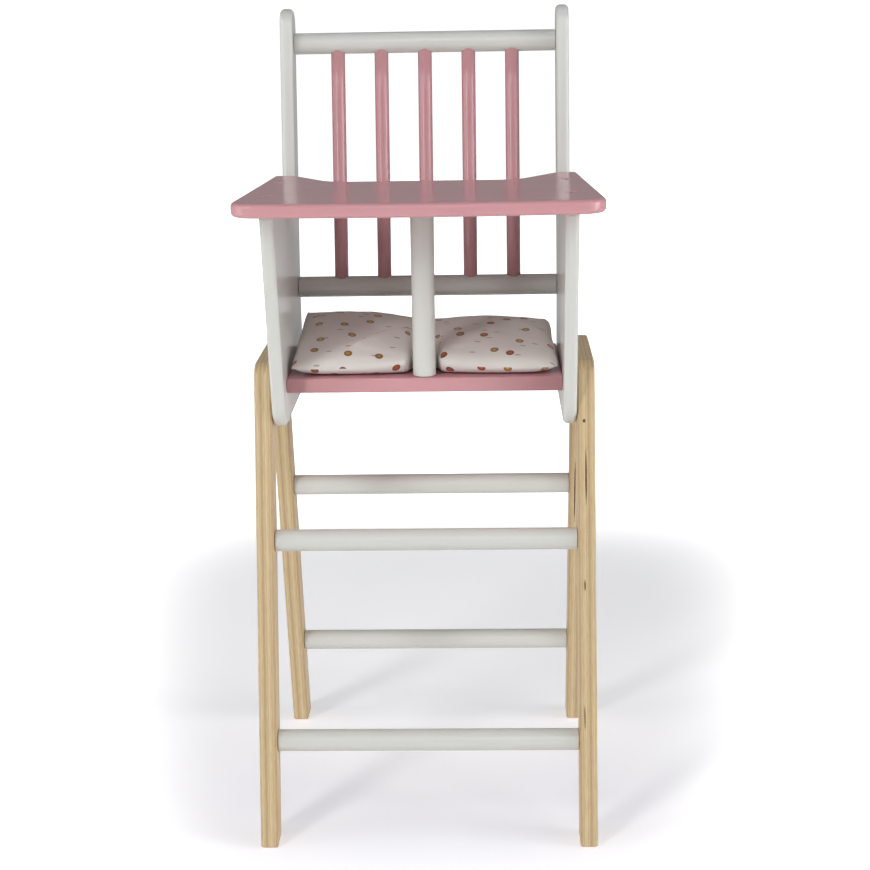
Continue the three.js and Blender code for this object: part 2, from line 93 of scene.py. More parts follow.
# Places and sizes that the frame gives.
PANEL_LOW, PANEL_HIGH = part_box("right_side_panel")
PLY_LOW, PLY_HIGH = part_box("right_leg_frame")
SEAT_LOW, SEAT_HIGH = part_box("seat_board")
TRAY_LOW, TRAY_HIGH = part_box("tray")
POST_LOW, POST_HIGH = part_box("crotch_post")
CUSHION_LOW, CUSHION_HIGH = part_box("seat_cushion")
TOP_RAIL = middle("backrest_top_rail")
LOWER_RAIL = middle("backrest_lower_rail")
BACK_SLOPE = (TOP_RAIL.y - LOWER_RAIL.y) / (TOP_RAIL.z - LOWER_RAIL.z)
RAIL_DIAMETER = extent("backrest_top_rail").z
SPINDLE_DIAMETER = extent(SPINDLES[0]).x
SCREW_HEAD = extent("left_tray_front_screw").x


def linear(hex_colour):
    """An sRGB hex colour as linear red, green and blue."""
    shares = [int(hex_colour[i : i + 2], 16) / 255 for i in (1, 3, 5)]
    return tuple(s / 12.92 if s <= 0.04045 else ((s + 0.055) / 1.055) ** 2.4 for s in shares)


def length(name, description, size):
    """A setting for a length, whose first value is given in millimetres."""
    return FloatProperty(name=name, description=description, default=size * MM, unit="LENGTH")


def corner_radii(name, description, *sizes):
    """A setting for a row of corner radii, whose first values are given in millimetres."""
    values = {"default": tuple(size * MM for size in sizes), "size": len(sizes), "unit": "LENGTH"}
    return FloatVectorProperty(name=name, description=description, **values)


def colour(name, description, shade):
    """A setting for a colour, whose first value is an sRGB hex colour."""
    values = {"default": linear(shade), "subtype": "COLOR", "size": 3}
    return FloatVectorProperty(name=name, description=description, **values)


class BoardSettings(bpy.types.PropertyGroup):
    """Sizes of the boards' outlines and edges."""

    paint_rounding: length("Panel rounding", "Radius of the painted panels' edges", 3)
    ply_easing: length("Plywood easing", "Radius of the sanded plywood edges", 1.8)
    seat_easing: length("Seat easing", "Radius of the seat board's edges", 1)
    panel_front: length(
        "Panel front", "From the middle of the chair to the panel's front edge, along its bottom", 57
    )
    panel_rear: length("Panel rear", "From the middle of the chair to the panel's upright rear edge", 72)
    arm_reach: length("Arm reach", "How far the arm's top leans out ahead of the panel's bottom", 28.5)
    post_depth: length("Post depth", "Front to back size of the back posts", 28)
    leg_width: length("Leg width", "Level width of each leg", 22.5)
    bar_depth: length("Bar depth", "Depth of the bar that joins the legs of a frame", 42)
    contact: length("Contact gap", "Gap between boards that touch", 0.3)
    post_cover: length("Post cover", "Post wood behind the rails' rear surface", 1.5)
    foot_reach: length("Foot reach", "From the middle of the chair to a foot's sharp outer corner", 119)
    panel_radii: corner_radii(
        "Panel corners",
        "Radii of the panel's corners, from the front bottom round to the arm's tip",
        18,
        16,
        90,
        12.5,
        12.5,
        5,
        4,
    )
    leg_radii: corner_radii(
        "Leg frame corners", "Radii of a leg frame's feet, shoulders and inner corners", 2.5, 12, 9
    )
    dowel_easing: length("Dowel easing", "Radius of the dowels' end edges", 0.6)
    leg_lean: FloatProperty(
        name="Leg lean",
        description="Lean of each leg from upright",
        default=math.radians(12.2),
        subtype="ANGLE",
    )


class TraySettings(bpy.types.PropertyGroup):
    """Sizes of the tray's outline."""

    side_overhang: length("Side overhang", "Front corners past the panels, before they are rounded", 17.2)
    rear_overhang: length("Rear overhang", "Rear corners past the panels, before they are rounded", 5)
    front_point: length(
        "Front point", "How far the bowed front edge's tangents meet ahead of its corners", 10.7
    )
    bow_radius: length("Bow radius", "Radius of the bowed front edge", 1150)
    bow_sagitta: length("Bow sagitta", "From the bow's sharp tangent point back to its foremost point", 4.55)
    radii: corner_radii(
        "Tray corners", "Radii of the front corners, rear corners, bay lips and bay corners", 16, 4, 8, 26
    )
    rounding: length("Tray rounding", "Radius of the tray's edges", 2.8)
    bay_depth: length("Bay depth", "Depth of the hollow in the rear edge", 41.5)
    bay_inset: length("Bay inset", "From a panel's inner face to the bay's lip", 1)
    bay_flank: length("Bay flank", "Width of each slanting flank of the bay", 29)


class FinishSettings(bpy.types.PropertyGroup):
    """Colours of the finishes."""

    white: colour("White lacquer", "Colour of the panels, rungs, rails and crotch post", "#dfe1dc")
    pink: colour("Pink lacquer", "Colour of the tray, seat and spindles", "#daa1a7")
    birch: colour("Birch", "Colour of the plywood's long-grained layers", "#dfcca3")
    cotton: colour("Cotton", "Colour of the cushion's cloth", "#e4e1dc")


class ScrewSettings(bpy.types.PropertyGroup):
    """Sizes of the countersunk socket screws."""

    head_height: length("Head height", "Height of the countersunk head", 2.2)
    shank: length("Shank", "Diameter of the shank", 3.8)
    socket: length("Socket", "Width of the hexagonal socket, across its corners", 3.2)
    socket_depth: length("Socket depth", "Depth of the hexagonal socket", 1.5)
    sink: length("Sink", "How far a head lies below the board's face", 0.2)


class CushionSettings(bpy.types.PropertyGroup):
    """Sizes of the cushion and of its print."""

    seam_front: length("Front seam height", "Height of the seam above the seat, at the front", 5.5)
    seam_rear_left: length(
        "Left rear seam height", "Height of the seam above the seat, at the left rear corner", 29.5
    )
    seam_rear_right: length(
        "Right rear seam height", "Height of the seam above the seat, at the right rear corner", 23
    )
    crown: length("Front crown", "Stuffing above the seam, in front", 6)
    swell: length("Swell", "Further stuffing halfway back", 2.5)
    waist: length("Waist", "How far each side draws in between its corners", 0.8)
    taper: length("Taper", "How much further in each side lies at the back", 4.2)
    lobe_corner: length("Lobe corner", "How far the front corners of each lobe are rounded back", 2.5)
    rear_corner: length("Rear corner", "How far the right rear corner is rounded back", 3.6)
    sharp_corner: length("Sharp corner", "How far the left rear corner is rounded back", 0.7)
    rear_crown: length("Rear crown", "Stuffing above the seam, at the back", 2)
    valley: length("Valley", "Dip between the two lobes", 5)
    valley_width: length("Valley width", "Width over which the valley falls", 28)
    seam_sharpness: FloatProperty(
        name="Seam sharpness",
        description="How firmly the sewn seam keeps its line when the cover is smoothed",
        default=0.8,
        min=0,
        max=1,
        subtype="FACTOR",
    )
    tip_lift: length("Tip lift", "How far the lobes' front tips rise beside the crotch post", 5)
    tip_width: length("Tip width", "Width over which the tips rise", 20)
    notch_gap: length("Notch gap", "Gap between the notch and the crotch post", 0.8)
    notch_flare: length("Notch flare", "Width over which each side of the notch opens", 4.5)
    slack: length("Slack", "How much smaller the unstuffed cover starts, on every side", 0.2)
    dot: length("Dot", "Diameter of the printed foil dots", 5.6)
    dot_spacing: length("Dot spacing", "Average distance between dots", 22.5)
    dash: length("Dash", "Length of the printed silver dashes", 4.6)
    dash_spacing: length("Dash spacing", "Average distance between dashes, along them", 34)
    pressure: FloatProperty(
        name="Pressure",
        description="Pressure of the stuffing in the cloth simulation",
        default=3,
    )
    moments: IntProperty(
        name="Moments",
        description="Length of the cloth simulation, in frames",
        default=20,
        min=1,
    )
    cap: length("Cap", "How far a point of the cover may move while it is stuffed", 1.3)
    cells: IntProperty(
        name="Cells",
        description="Cells of the cloth from side to side",
        default=72,
        min=24,
    )


class ChairSettings(bpy.types.PropertyGroup):
    """Everything that can be changed."""

    boards: PointerProperty(type=BoardSettings)
    tray: PointerProperty(type=TraySettings)
    finish: PointerProperty(type=FinishSettings)
    screws: PointerProperty(type=ScrewSettings)
    cushion: PointerProperty(type=CushionSettings)


def settings():
    return bpy.context.scene.doll_chair


# Node trees

FALLING = {"To Min": 1.0, "To Max": 0.0}


def feed(tree, node, inputs):
    """Gives a node's inputs their values or links. A node as an input stands for its first output in use."""
    for name, value in inputs.items():
        if isinstance(value, bpy.types.Node):
            value = next(socket for socket in value.outputs if socket.enabled)
        if isinstance(value, bpy.types.NodeSocket):
            tree.links.new(value, node.inputs[name])
        else:
            node.inputs[name].default_value = value


def add(tree, kind, inputs=None, stops=(), **properties):
    """Adds a node with its properties, its inputs and a colour ramp's stops.

    A Mix node of colours has its factor in input 0 and its two colours in inputs 6 and 7.
    """
    made = tree.nodes.new(kind)
    for name, value in properties.items():
        setattr(made, name, value)
    feed(tree, made, inputs or {})
    if stops:
        elements = made.color_ramp.elements
        while len(elements) < len(stops):
            elements.new(1)
        for element, (place, shade) in zip(elements, stops):
            element.position = place
            element.color = (*(linear(shade) if isinstance(shade, str) else shade), 1)
    return made


def new_material(name, **shader):
    """A material with a Principled shader, whose plain values are set on its own sockets."""
    made = bpy.data.materials.get(name)
    if made:
        return made, None, None
    made = bpy.data.materials.new(name)
    made.use_nodes = True
    principled = made.node_tree.nodes["Principled BSDF"]
    for socket, value in shader.items():
        principled.inputs[socket.replace("_", " ")].default_value = value
    return made, made.node_tree, principled


def per(*sizes):
    """The scale, or the three scales, of a pattern whose features have these sizes in millimetres."""
    scales = tuple(1 / (size * MM) for size in sizes)
    return scales if len(scales) > 1 else scales[0]


def sprayed_lacquer(name, shade, grain, roughness=0.2):
    """Satin lacquer sprayed on beech or fibreboard and rubbed down between coats.

    It is smooth with a faint orange peel. Along a dowel the wood's pores show through as fine lengthwise
    ridges. grain is the size of those ridges across X, Y and Z, in millimetres.
    """
    made, tree, principled = new_material(name, Roughness=roughness, IOR=1.5)
    if tree is None:
        return made
    place = add(tree, "ShaderNodeTexCoord").outputs["Object"]
    # Uneven film thickness: patches about 40 mm wide, a shade lighter or darker.
    patches = add(tree, "ShaderNodeTexNoise", {"Vector": place, "Scale": per(40), "Detail": 2.0})
    thin = (*(c * 0.965 for c in shade), 1)
    tone = add(tree, "ShaderNodeMix", {0: patches, 6: thin, 7: (*shade, 1)}, data_type="RGBA")
    # Orange peel about 1.3 mm across.
    peel = add(tree, "ShaderNodeTexNoise", {"Vector": place, "Scale": per(1.3), "Detail": 1.0})
    stretched = add(tree, "ShaderNodeMapping", {"Vector": place, "Scale": per(*grain)})
    pores = add(tree, "ShaderNodeTexNoise", {"Vector": stretched, "Scale": 1.0, "Detail": 3.0})
    relief = add(tree, "ShaderNodeMath", {0: peel, 1: pores}, operation="ADD")
    bump = add(tree, "ShaderNodeBump", {"Height": relief, "Strength": 0.12, "Distance": 0.05 * MM})
    # Rubbing leaves the sheen a little uneven.
    spread = {"To Min": roughness * 0.85, "To Max": roughness * 1.15}
    sheen = add(tree, "ShaderNodeMapRange", {"Value": patches, **spread})
    feed(tree, principled, {"Base Color": tone, "Normal": bump, "Roughness": sheen})
    return made


# Tones of the plywood's nine layers, inner face first, on its sloping edges and on its level ones.
UPRIGHT_TONES = (0.5, 0.74, 0.82, 0.95, 0.78, 0.54, 0.74, 0.88, 0.76)
# The level tones are also lightened: a painted sheen of the clear coat on edges that face up.
LEVEL_TONES_WITH_SHEEN = (0.78, 0.60, 0.82, 0.62, 0.80, 0.60, 0.78, 0.62, 0.76)


def birch_plywood():
    """Birch plywood, nine layers in 12 mm, sanded and sealed with clear satin lacquer.

    On the edges the layers show in turn as long grain, pale with fine streaks, and as end grain, darker and
    pricked with pores, with a thin brown glue line between them and a void here and there. The faces are
    rotary-cut veneer with an upright figure.
    """
    values = {"Roughness": 0.42, "IOR": 1.5, "Coat_Weight": 0.2, "Coat_Roughness": 0.3}
    made, tree, principled = new_material("sealed_birch_plywood", **values)
    if tree is None:
        return made
    coordinates = add(tree, "ShaderNodeTexCoord").outputs
    place = coordinates["Object"]
    axes = add(tree, "ShaderNodeSeparateXYZ", {"Vector": place}).outputs
    normal = add(tree, "ShaderNodeSeparateXYZ", {"Vector": coordinates["Normal"]}).outputs
    # Depth through the board, 0 at its inner face and 1 at its outer face. The layers wave by 0.25 mm.
    depth = add(tree, "ShaderNodeMath", {0: axes["X"]}, operation="ABSOLUTE")
    wander = add(tree, "ShaderNodeTexNoise", {"Vector": place, "Scale": per(30), "Detail": 1.0})
    wave = add(tree, "ShaderNodeMapRange", {"Value": wander, "To Min": -0.25 * MM, "To Max": 0.25 * MM})
    shifted = add(tree, "ShaderNodeMath", {0: depth, 1: wave}, operation="ADD")
    share = add(tree, "ShaderNodeMapRange", {"Value": shifted, "From Min": PLY_LOW.x, "From Max": PLY_HIGH.x})
    ramps = []
    for tones in (UPRIGHT_TONES, LEVEL_TONES_WITH_SHEEN):
        stops = [(i / len(tones), (tone, tone, tone)) for i, tone in enumerate(tones)]
        ramps.append(add(tree, "ShaderNodeValToRGB", {"Fac": share}, stops))
        ramps[-1].color_ramp.interpolation = "CONSTANT"
    # Edges that face up take the level tones, with their painted sheen.
    flatness = add(tree, "ShaderNodeMath", {0: normal["Z"]}, operation="ABSOLUTE")
    is_level = add(tree, "ShaderNodeMapRange", {"Value": flatness, "From Min": 0.35, "From Max": 0.85})
    layers = add(tree, "ShaderNodeMix", {0: is_level, 6: ramps[0], 7: ramps[1]}, data_type="RGBA")
    # Glue lines about 0.15 mm wide, drawn twice as wide so that they show at arm's length.
    cycle = add(tree, "ShaderNodeMath", {0: share, 1: float(len(UPRIGHT_TONES))}, operation="MULTIPLY")
    part = add(tree, "ShaderNodeMath", {0: cycle, 1: 1.0}, operation="PINGPONG")
    near = add(tree, "ShaderNodeMapRange", {"Value": part, "From Min": 0.05, "From Max": 0.17, **FALLING})
    # Lengthwise streaks 0.5 mm wide and 30 mm long, and pores 0.8 mm apart, coarse enough to show.
    long_grain = add(tree, "ShaderNodeMapping", {"Vector": place, "Scale": per(0.5, 2, 30)})
    streaks = add(tree, "ShaderNodeTexNoise", {"Vector": long_grain, "Scale": 1.0, "Detail": 3.0})
    pores = add(tree, "ShaderNodeTexNoise", {"Vector": place, "Scale": per(0.8), "Detail": 2.0})
    at_ends = add(tree, "ShaderNodeMapRange", {"Value": layers, "From Min": 0.3, "From Max": 0.8, **FALLING})
    texture = add(tree, "ShaderNodeMix", {0: at_ends, 6: streaks, 7: pores}, data_type="RGBA")
    contrast = {"From Min": 0.3, "From Max": 0.7, "To Min": -0.16, "To Max": 0.16}
    swing = add(tree, "ShaderNodeMapRange", {"Value": texture, **contrast})
    tone = add(tree, "ShaderNodeMath", {0: layers, 1: swing}, operation="ADD")
    browns = [(0.0, "#937050"), (0.35, "#b8966b"), (0.7, "#d0b68c"), (1.0, tuple(settings().finish.birch))]
    edge = add(tree, "ShaderNodeValToRGB", {"Fac": tone}, browns)
    glue = add(tree, "ShaderNodeMath", {0: near, 1: 0.35}, operation="MULTIPLY")
    glued = add(tree, "ShaderNodeMix", {0: glue, 6: edge, 7: (*linear("#a07d58"), 1)}, data_type="RGBA")
    dark = 0.0
    for x, y, z, half_x, half_z in VOIDS:
        centred = add(tree, "ShaderNodeMapping", {"Vector": place, "Location": (-x, -y, -z)})
        halves = (1 / half_x, 1 / VOID_HALF_DEPTH, 1 / half_z)
        squeezed = add(tree, "ShaderNodeVectorMath", {0: centred, 1: halves}, operation="MULTIPLY")
        reach = add(tree, "ShaderNodeVectorMath", {0: squeezed}, operation="LENGTH")
        ragged = add(tree, "ShaderNodeMath", {0: pores, 1: 0.6, 2: reach}, operation="MULTIPLY_ADD")
        brink = {"From Min": 1.1, "From Max": 1.45}
        hole = add(tree, "ShaderNodeMapRange", {"Value": ragged, **brink, **FALLING})
        dark = add(tree, "ShaderNodeMath", {0: dark, 1: hole}, operation="MAXIMUM")
    sides = add(tree, "ShaderNodeMath", {0: normal["X"]}, operation="ABSOLUTE")
    is_edge = add(tree, "ShaderNodeMath", {0: sides, 1: 0.88}, operation="LESS_THAN")
    void_and_painted_shade = add(tree, "ShaderNodeMath", {0: dark, 1: is_edge}, operation="MULTIPLY")
    # Open voids are painted dark brown: painted shade for the hollow.
    edges = add(tree, "ShaderNodeMix", {0: void_and_painted_shade, 6: glued, 7: (*linear("#5d3d1c"), 1)}, data_type="RGBA")
    # Face veneer: soft bands about 14 mm wide that run up the board, and fibres 0.6 mm wide.
    bands = add(tree, "ShaderNodeMapping", {"Vector": place, "Scale": per(40, 14, 140)})
    swirl = {"Scale": 1.0, "Detail": 4.0, "Distortion": 0.8}
    figure = add(tree, "ShaderNodeTexNoise", {"Vector": bands, **swirl})
    fine = add(tree, "ShaderNodeMapping", {"Vector": place, "Scale": per(2, 0.6, 24)})
    fibres = add(tree, "ShaderNodeTexNoise", {"Vector": fine, "Scale": 1.0, "Detail": 2.0})
    soft = add(tree, "ShaderNodeMath", {0: fibres, 1: 0.35, 2: figure}, operation="MULTIPLY_ADD")
    pale = [(0.45, "#c4a377"), (0.65, "#d0b58a"), (0.9, "#dcc89f")]
    veneer = add(tree, "ShaderNodeValToRGB", {"Fac": soft}, pale)
    board_tone = add(tree, "ShaderNodeMix", {0: is_edge, 6: veneer, 7: edges}, data_type="RGBA")
    # The voids are eight times as deep as the grain's relief.
    sunk = add(tree, "ShaderNodeMath", {0: void_and_painted_shade, 1: -8.0, 2: texture}, operation="MULTIPLY_ADD")
    bump = add(tree, "ShaderNodeBump", {"Height": sunk, "Strength": 0.35, "Distance": 0.08 * MM})
    rough = add(tree, "ShaderNodeMapRange", {"Value": texture, "To Min": 0.36, "To Max": 0.52})
    feed(tree, principled, {"Base Color": board_tone, "Normal": bump, "Roughness": rough})
    return made


def zinc_steel():
    """Bright zinc plate on a steel screw, rumbled, so faintly uneven."""
    made, tree, principled = new_material("zinc_plated_steel", Metallic=1.0, Roughness=0.3)
    if tree is None:
        return made
    place = add(tree, "ShaderNodeTexCoord").outputs["Object"]
    cloud = add(tree, "ShaderNodeTexNoise", {"Vector": place, "Scale": per(0.9), "Detail": 2.0})
    tone = add(tree, "ShaderNodeValToRGB", {"Fac": cloud}, [(0.3, "#a9abad"), (0.7, "#c9cacb")])
    rough = add(tree, "ShaderNodeMapRange", {"Value": cloud, "To Min": 0.24, "To Max": 0.42})
    feed(tree, principled, {"Base Color": tone, "Roughness": rough})
    return made


def printed_cotton():
    """Plain-woven cotton with small scattered dots of gold and copper foil, and silver dashes between them.

    The print lies in the cloth's own unfolded layout, in metres, so it follows the folds.
    """
    values = {"Roughness": 0.85, "Sheen_Weight": 0.25, "Sheen_Roughness": 0.5}
    made, tree, principled = new_material("printed_cotton", **values)
    if tree is None:
        return made
    cushion = settings().cushion
    layout = add(tree, "ShaderNodeUVMap", uv_map="cloth")
    scatter = {"Vector": layout, "Scale": 1 / cushion.dot_spacing, "Randomness": 0.62}
    spots = add(tree, "ShaderNodeTexVoronoi", scatter, voronoi_dimensions="2D")
    radius = cushion.dot / 2 / cushion.dot_spacing
    edge = {"From Min": radius * 0.94, "From Max": radius * 1.06}
    inside = add(tree, "ShaderNodeMapRange", {"Value": spots, **edge, **FALLING})
    hue = add(tree, "ShaderNodeSeparateColor", {"Color": spots.outputs["Color"]})
    foils = [(0.0, "#d0703f"), (0.2, "#e0ad4c"), (0.55, "#e6bb66"), (0.85, "#c9663a")]
    foil = add(tree, "ShaderNodeValToRGB", {"Fac": hue}, foils)
    foil.color_ramp.interpolation = "CONSTANT"
    # Each dot is painted darker towards its rim and left bright in the middle: a painted glint on the foil.
    edge = {"From Min": radius * 0.15, "From Max": radius * 0.95, "To Max": 0.85}
    foil_glint_falloff = add(tree, "ShaderNodeMapRange", {"Value": spots, **edge})
    shaded = add(tree, "ShaderNodeMix", {0: foil_glint_falloff, 6: foil, 7: (*linear("#5f3d1e"), 1)}, data_type="RGBA")
    slim = add(tree, "ShaderNodeMapping", {"Vector": layout, "Rotation": (0, 0, 0.35), "Scale": (1, 3, 1)})
    scatter = {"Vector": slim, "Scale": 1 / cushion.dash_spacing, "Randomness": 0.8}
    dashes = add(tree, "ShaderNodeTexVoronoi", scatter, voronoi_dimensions="2D")
    half_dash = cushion.dash / 2 / cushion.dash_spacing
    edge = {"From Min": half_dash * 0.8, "From Max": half_dash * 1.1, "To Min": 0.7, "To Max": 0.0}
    on_dash = add(tree, "ShaderNodeMapRange", {"Value": dashes, **edge})
    # Threads 0.45 mm apart, drawn twice as coarse as real ones so that they do not shimmer.
    threads = {"Vector": layout, "Scale": per(0.9) / 20 * math.pi, "Distortion": 0.6, "Detail": 1.0}
    weave = [add(tree, "ShaderNodeTexWave", threads, bands_direction=way).outputs["Fac"] for way in "XY"]
    cloth = add(tree, "ShaderNodeMath", {0: weave[0], 1: weave[1]}, operation="ADD")
    worn = add(tree, "ShaderNodeTexNoise", {"Vector": layout, "Scale": per(25), "Detail": 3.0})
    ground = tuple(settings().finish.cotton)
    thin = (*(c * 0.93 for c in ground), 1)
    base = add(tree, "ShaderNodeMix", {0: worn, 6: thin, 7: (*ground, 1)}, data_type="RGBA")
    dashed = add(tree, "ShaderNodeMix", {0: on_dash, 6: base, 7: (*linear("#8e8782"), 1)}, data_type="RGBA")
    printed = add(tree, "ShaderNodeMix", {0: inside, 6: dashed, 7: shaded}, data_type="RGBA")
    shine = add(tree, "ShaderNodeMapRange", {"Value": inside, "To Min": 0.0, "To Max": 0.6})
    rough = add(tree, "ShaderNodeMapRange", {"Value": inside, "To Min": 0.85, "To Max": 0.35})
    bump = add(tree, "ShaderNodeBump", {"Height": cloth, "Strength": 0.3, "Distance": 0.08 * MM})
    finish = {"Base Color": printed, "Metallic": shine, "Roughness": rough, "Normal": bump}
    feed(tree, principled, finish)
    return made


ACROSS_GRAIN = (9, 0.9, 0.9)
UPRIGHT_GRAIN = (0.9, 0.9, 9)
# The spindles' pink is the boards' pink darkened as painted shade, and it is glossier.
SPINDLE_SHADE = 0.88
SPINDLE_ROUGHNESS = 0.12


def white_lacquer():
    return sprayed_lacquer("white_lacquer", tuple(settings().finish.white), ACROSS_GRAIN)


def upright_white_lacquer():
    return sprayed_lacquer("upright_white_lacquer", tuple(settings().finish.white), UPRIGHT_GRAIN)


def pink_lacquer():
    return sprayed_lacquer("pink_lacquer", tuple(settings().finish.pink), ACROSS_GRAIN)


def upright_pink_lacquer():
    # The spindles take a darker copy of the pink, as painted shade.
    shaded_pink = tuple(c * SPINDLE_SHADE for c in settings().finish.pink)
    return sprayed_lacquer("upright_pink_lacquer", shaded_pink, UPRIGHT_GRAIN, SPINDLE_ROUGHNESS)


# Shapes

# A curve's facets turn by ARC_STEP and are ARC_CHORD long at most. SUPPORT is the narrow strip beside them.
ARC_STEP = math.radians(6)
ARC_CHORD = 9 * MM
ROUNDING_STEPS = 6
SUPPORT = 0.12 * MM
DOWEL_SIDES = 48
# A countersink: its play around the head, the widths of its eased rim in full and halfway down, the rim's
# depth, and the room under the head.
RECESS_SIDES = 32
RECESS_PLAY = 0.1 * MM
RIM_WIDTH = 0.3 * MM
RIM_HALFWAY = 0.09 * MM
RIM_DEPTH = 0.25 * MM
RECESS_ROOM = 0.3 * MM


def rounded(corners):
    """Points of a closed outline from corners given as (across, up, radius)."""
    count = len(corners)
    ends = []
    for i, (u, v, radius) in enumerate(corners):
        here = Vector((u, v))
        back = (Vector(corners[i - 1][:2]) - here).normalized()
        ahead = (Vector(corners[(i + 1) % count][:2]) - here).normalized()
        half = back.angle(ahead) / 2
        ends.append((here, back, ahead, half, radius / math.tan(half) if radius else 0))
    points = []
    for i, (here, back, ahead, half, reach) in enumerate(ends):
        before = ends[i - 1]
        after = ends[(i + 1) % count]
        radius = corners[i][2]
        if not radius:
            points.append(here)
            continue
        if (before[0] - here).length > reach + before[4] + 3 * SUPPORT:
            points.append(here + back * (reach + SUPPORT))
        centre = here + (back + ahead).normalized() * radius / math.sin(half)
        start = here + back * reach - centre
        turn = (here + ahead * reach - centre).angle_signed(start)
        steps = max(math.ceil(abs(turn) / ARC_STEP), math.ceil(abs(turn) * radius / ARC_CHORD), 2)
        for k in range(steps + 1):
            points.append(centre + Matrix.Rotation(turn * k / steps, 2) @ start)
        if (after[0] - here).length > reach + after[4] + 3 * SUPPORT:
            points.append(here + ahead * (reach + SUPPORT))
    return points


def inset(points, amount):
    """The outline moved inwards by amount along its corners' mitres."""
    area = sum(a.x * b.y - b.x * a.y for a, b in zip(points, points[1:] + points[:1])) / 2
    inward = 1 if area > 0 else -1
    moved = []
    for i, here in enumerate(points):
        back = (here - points[i - 1]).normalized()
        ahead = (points[(i + 1) % len(points)] - here).normalized()
        first = Vector((-back.y, back.x)) * inward
        second = Vector((-ahead.y, ahead.x)) * inward
        moved.append(here + (first + second) / (1 + first.dot(second)) * amount)
    return moved


def board(mesh, corners, low, high, rounding, place, holes=()):
    """A board with rounded edges. place turns (across, up, through) into a point, and holes open at high."""
    outline = rounded(corners)
    flat = rounding + SUPPORT
    levels = [(flat, low)]
    for k in range(ROUNDING_STEPS + 1):
        angle = math.pi / 2 * k / ROUNDING_STEPS
        levels.append((rounding * (1 - math.sin(angle)), low + rounding * (1 - math.cos(angle))))
    levels.append((0, low + rounding + SUPPORT))
    levels += [(amount, low + high - through) for amount, through in reversed(levels)]
    rings = []
    for amount, through in levels:
        rings.append([mesh.verts.new(place(p.x, p.y, through)) for p in inset(outline, amount)])
    for lower, upper in zip(rings, rings[1:]):
        bridge(mesh, lower, upper)
    cap(mesh, inset(outline, flat), rings[0], [])
    sockets = [countersink(mesh, hole, high, place) for hole in holes]
    cap(mesh, inset(outline, flat), rings[-1], sockets)


def bridge(mesh, lower, upper):
    for i in range(len(lower)):
        j = (i + 1) % len(lower)
        mesh.faces.new((lower[i], lower[j], upper[j], upper[i])).smooth = True


def cap(mesh, outline, ring, sockets):
    """Closes a ring flat, around any sockets given as (their outer points, their outer ring)."""
    loops = [[Vector((*p, 0)) for p in outline]]
    verts = list(ring)
    for points, outer in sockets:
        loops.append([Vector((*p, 0)) for p in points])
        verts += outer
    for triangle in tessellate_polygon(loops):
        mesh.faces.new([verts[i] for i in triangle])


def countersink(mesh, centre, level, place):
    """A countersunk recess for a screw head, open at level. Returns its outermost points and ring."""
    screws = settings().screws
    head = SCREW_HEAD / 2 + RECESS_PLAY
    shank = screws.shank / 2
    bottom = screws.sink + screws.head_height
    profile = (
        (head + RIM_WIDTH + SUPPORT, 0),
        (head + RIM_WIDTH, 0),
        (head + RIM_HALFWAY, RIM_HALFWAY),
        (head, RIM_DEPTH),
        (shank, bottom + RECESS_ROOM),
    )
    rings = []
    for radius, sunk in profile:
        turns = around(RECESS_SIDES)
        circle = [(centre[0] + radius * math.cos(a), centre[1] + radius * math.sin(a)) for a in turns]
        rings.append((circle, [mesh.verts.new(place(u, v, level - sunk)) for u, v in circle]))
    for (_, lower), (_, upper) in zip(rings, rings[1:]):
        bridge(mesh, lower, upper)
    mesh.faces.new(rings[-1][1])
    return rings[0]


def around(count):
    """Even turns round a circle."""
    return [2 * math.pi * i / count for i in range(count)]


def dowel(mesh, start, end, diameter, easing):
    """A round rod with eased ends."""
    axis = end - start
    turn = axis.to_track_quat("Z", "Y")
    radius = diameter / 2
    profile = [(radius - easing - SUPPORT, 0)]
    for k in range(ROUNDING_STEPS + 1):
        angle = math.pi / 2 * k / ROUNDING_STEPS
        profile.append((radius - easing * (1 - math.sin(angle)), easing * (1 - math.cos(angle))))
    profile.append((radius, easing + SUPPORT))
    profile += [(r, axis.length - z) for r, z in reversed(profile)]
    rings = []
    for r, z in profile:
        ring = [Vector((r * math.cos(a), r * math.sin(a), z)) for a in around(DOWEL_SIDES)]
        rings.append([mesh.verts.new(start + turn @ p) for p in ring])
    for lower, upper in zip(rings, rings[1:]):
        bridge(mesh, lower, upper)
    mesh.faces.new(rings[0])
    mesh.faces.new(rings[-1])


def finish_piece(name, mesh, material, nodes):
    """Turns a shape into a piece of the chair that stands in for frame nodes."""
    bmesh.ops.recalc_face_normals(mesh, faces=mesh.faces)
    data = bpy.data.meshes.new(name)
    mesh.to_mesh(data)
    mesh.free()
    keep(name, data, material, nodes)


def keep(name, data, material, nodes, body="chair"):
    """Makes a mesh a piece that rides on a body, in place of frame nodes."""
    data.materials.clear()
    data.materials.append(material)
    piece = bpy.data.objects.new(name, data)
    bpy.context.scene.collection.objects.link(piece)
    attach(piece, body)
    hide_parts(*nodes)
    return piece


def side_point(side):
    """Turns (front to back, up, outwards) into a point on the right or the left."""
    return lambda across, up, through: Vector((side * through, across, up))


def back_axis(height):
    """Where the middle line of the backrest runs, front to back, at a height."""
    return LOWER_RAIL.y + BACK_SLOPE * (height - LOWER_RAIL.z)


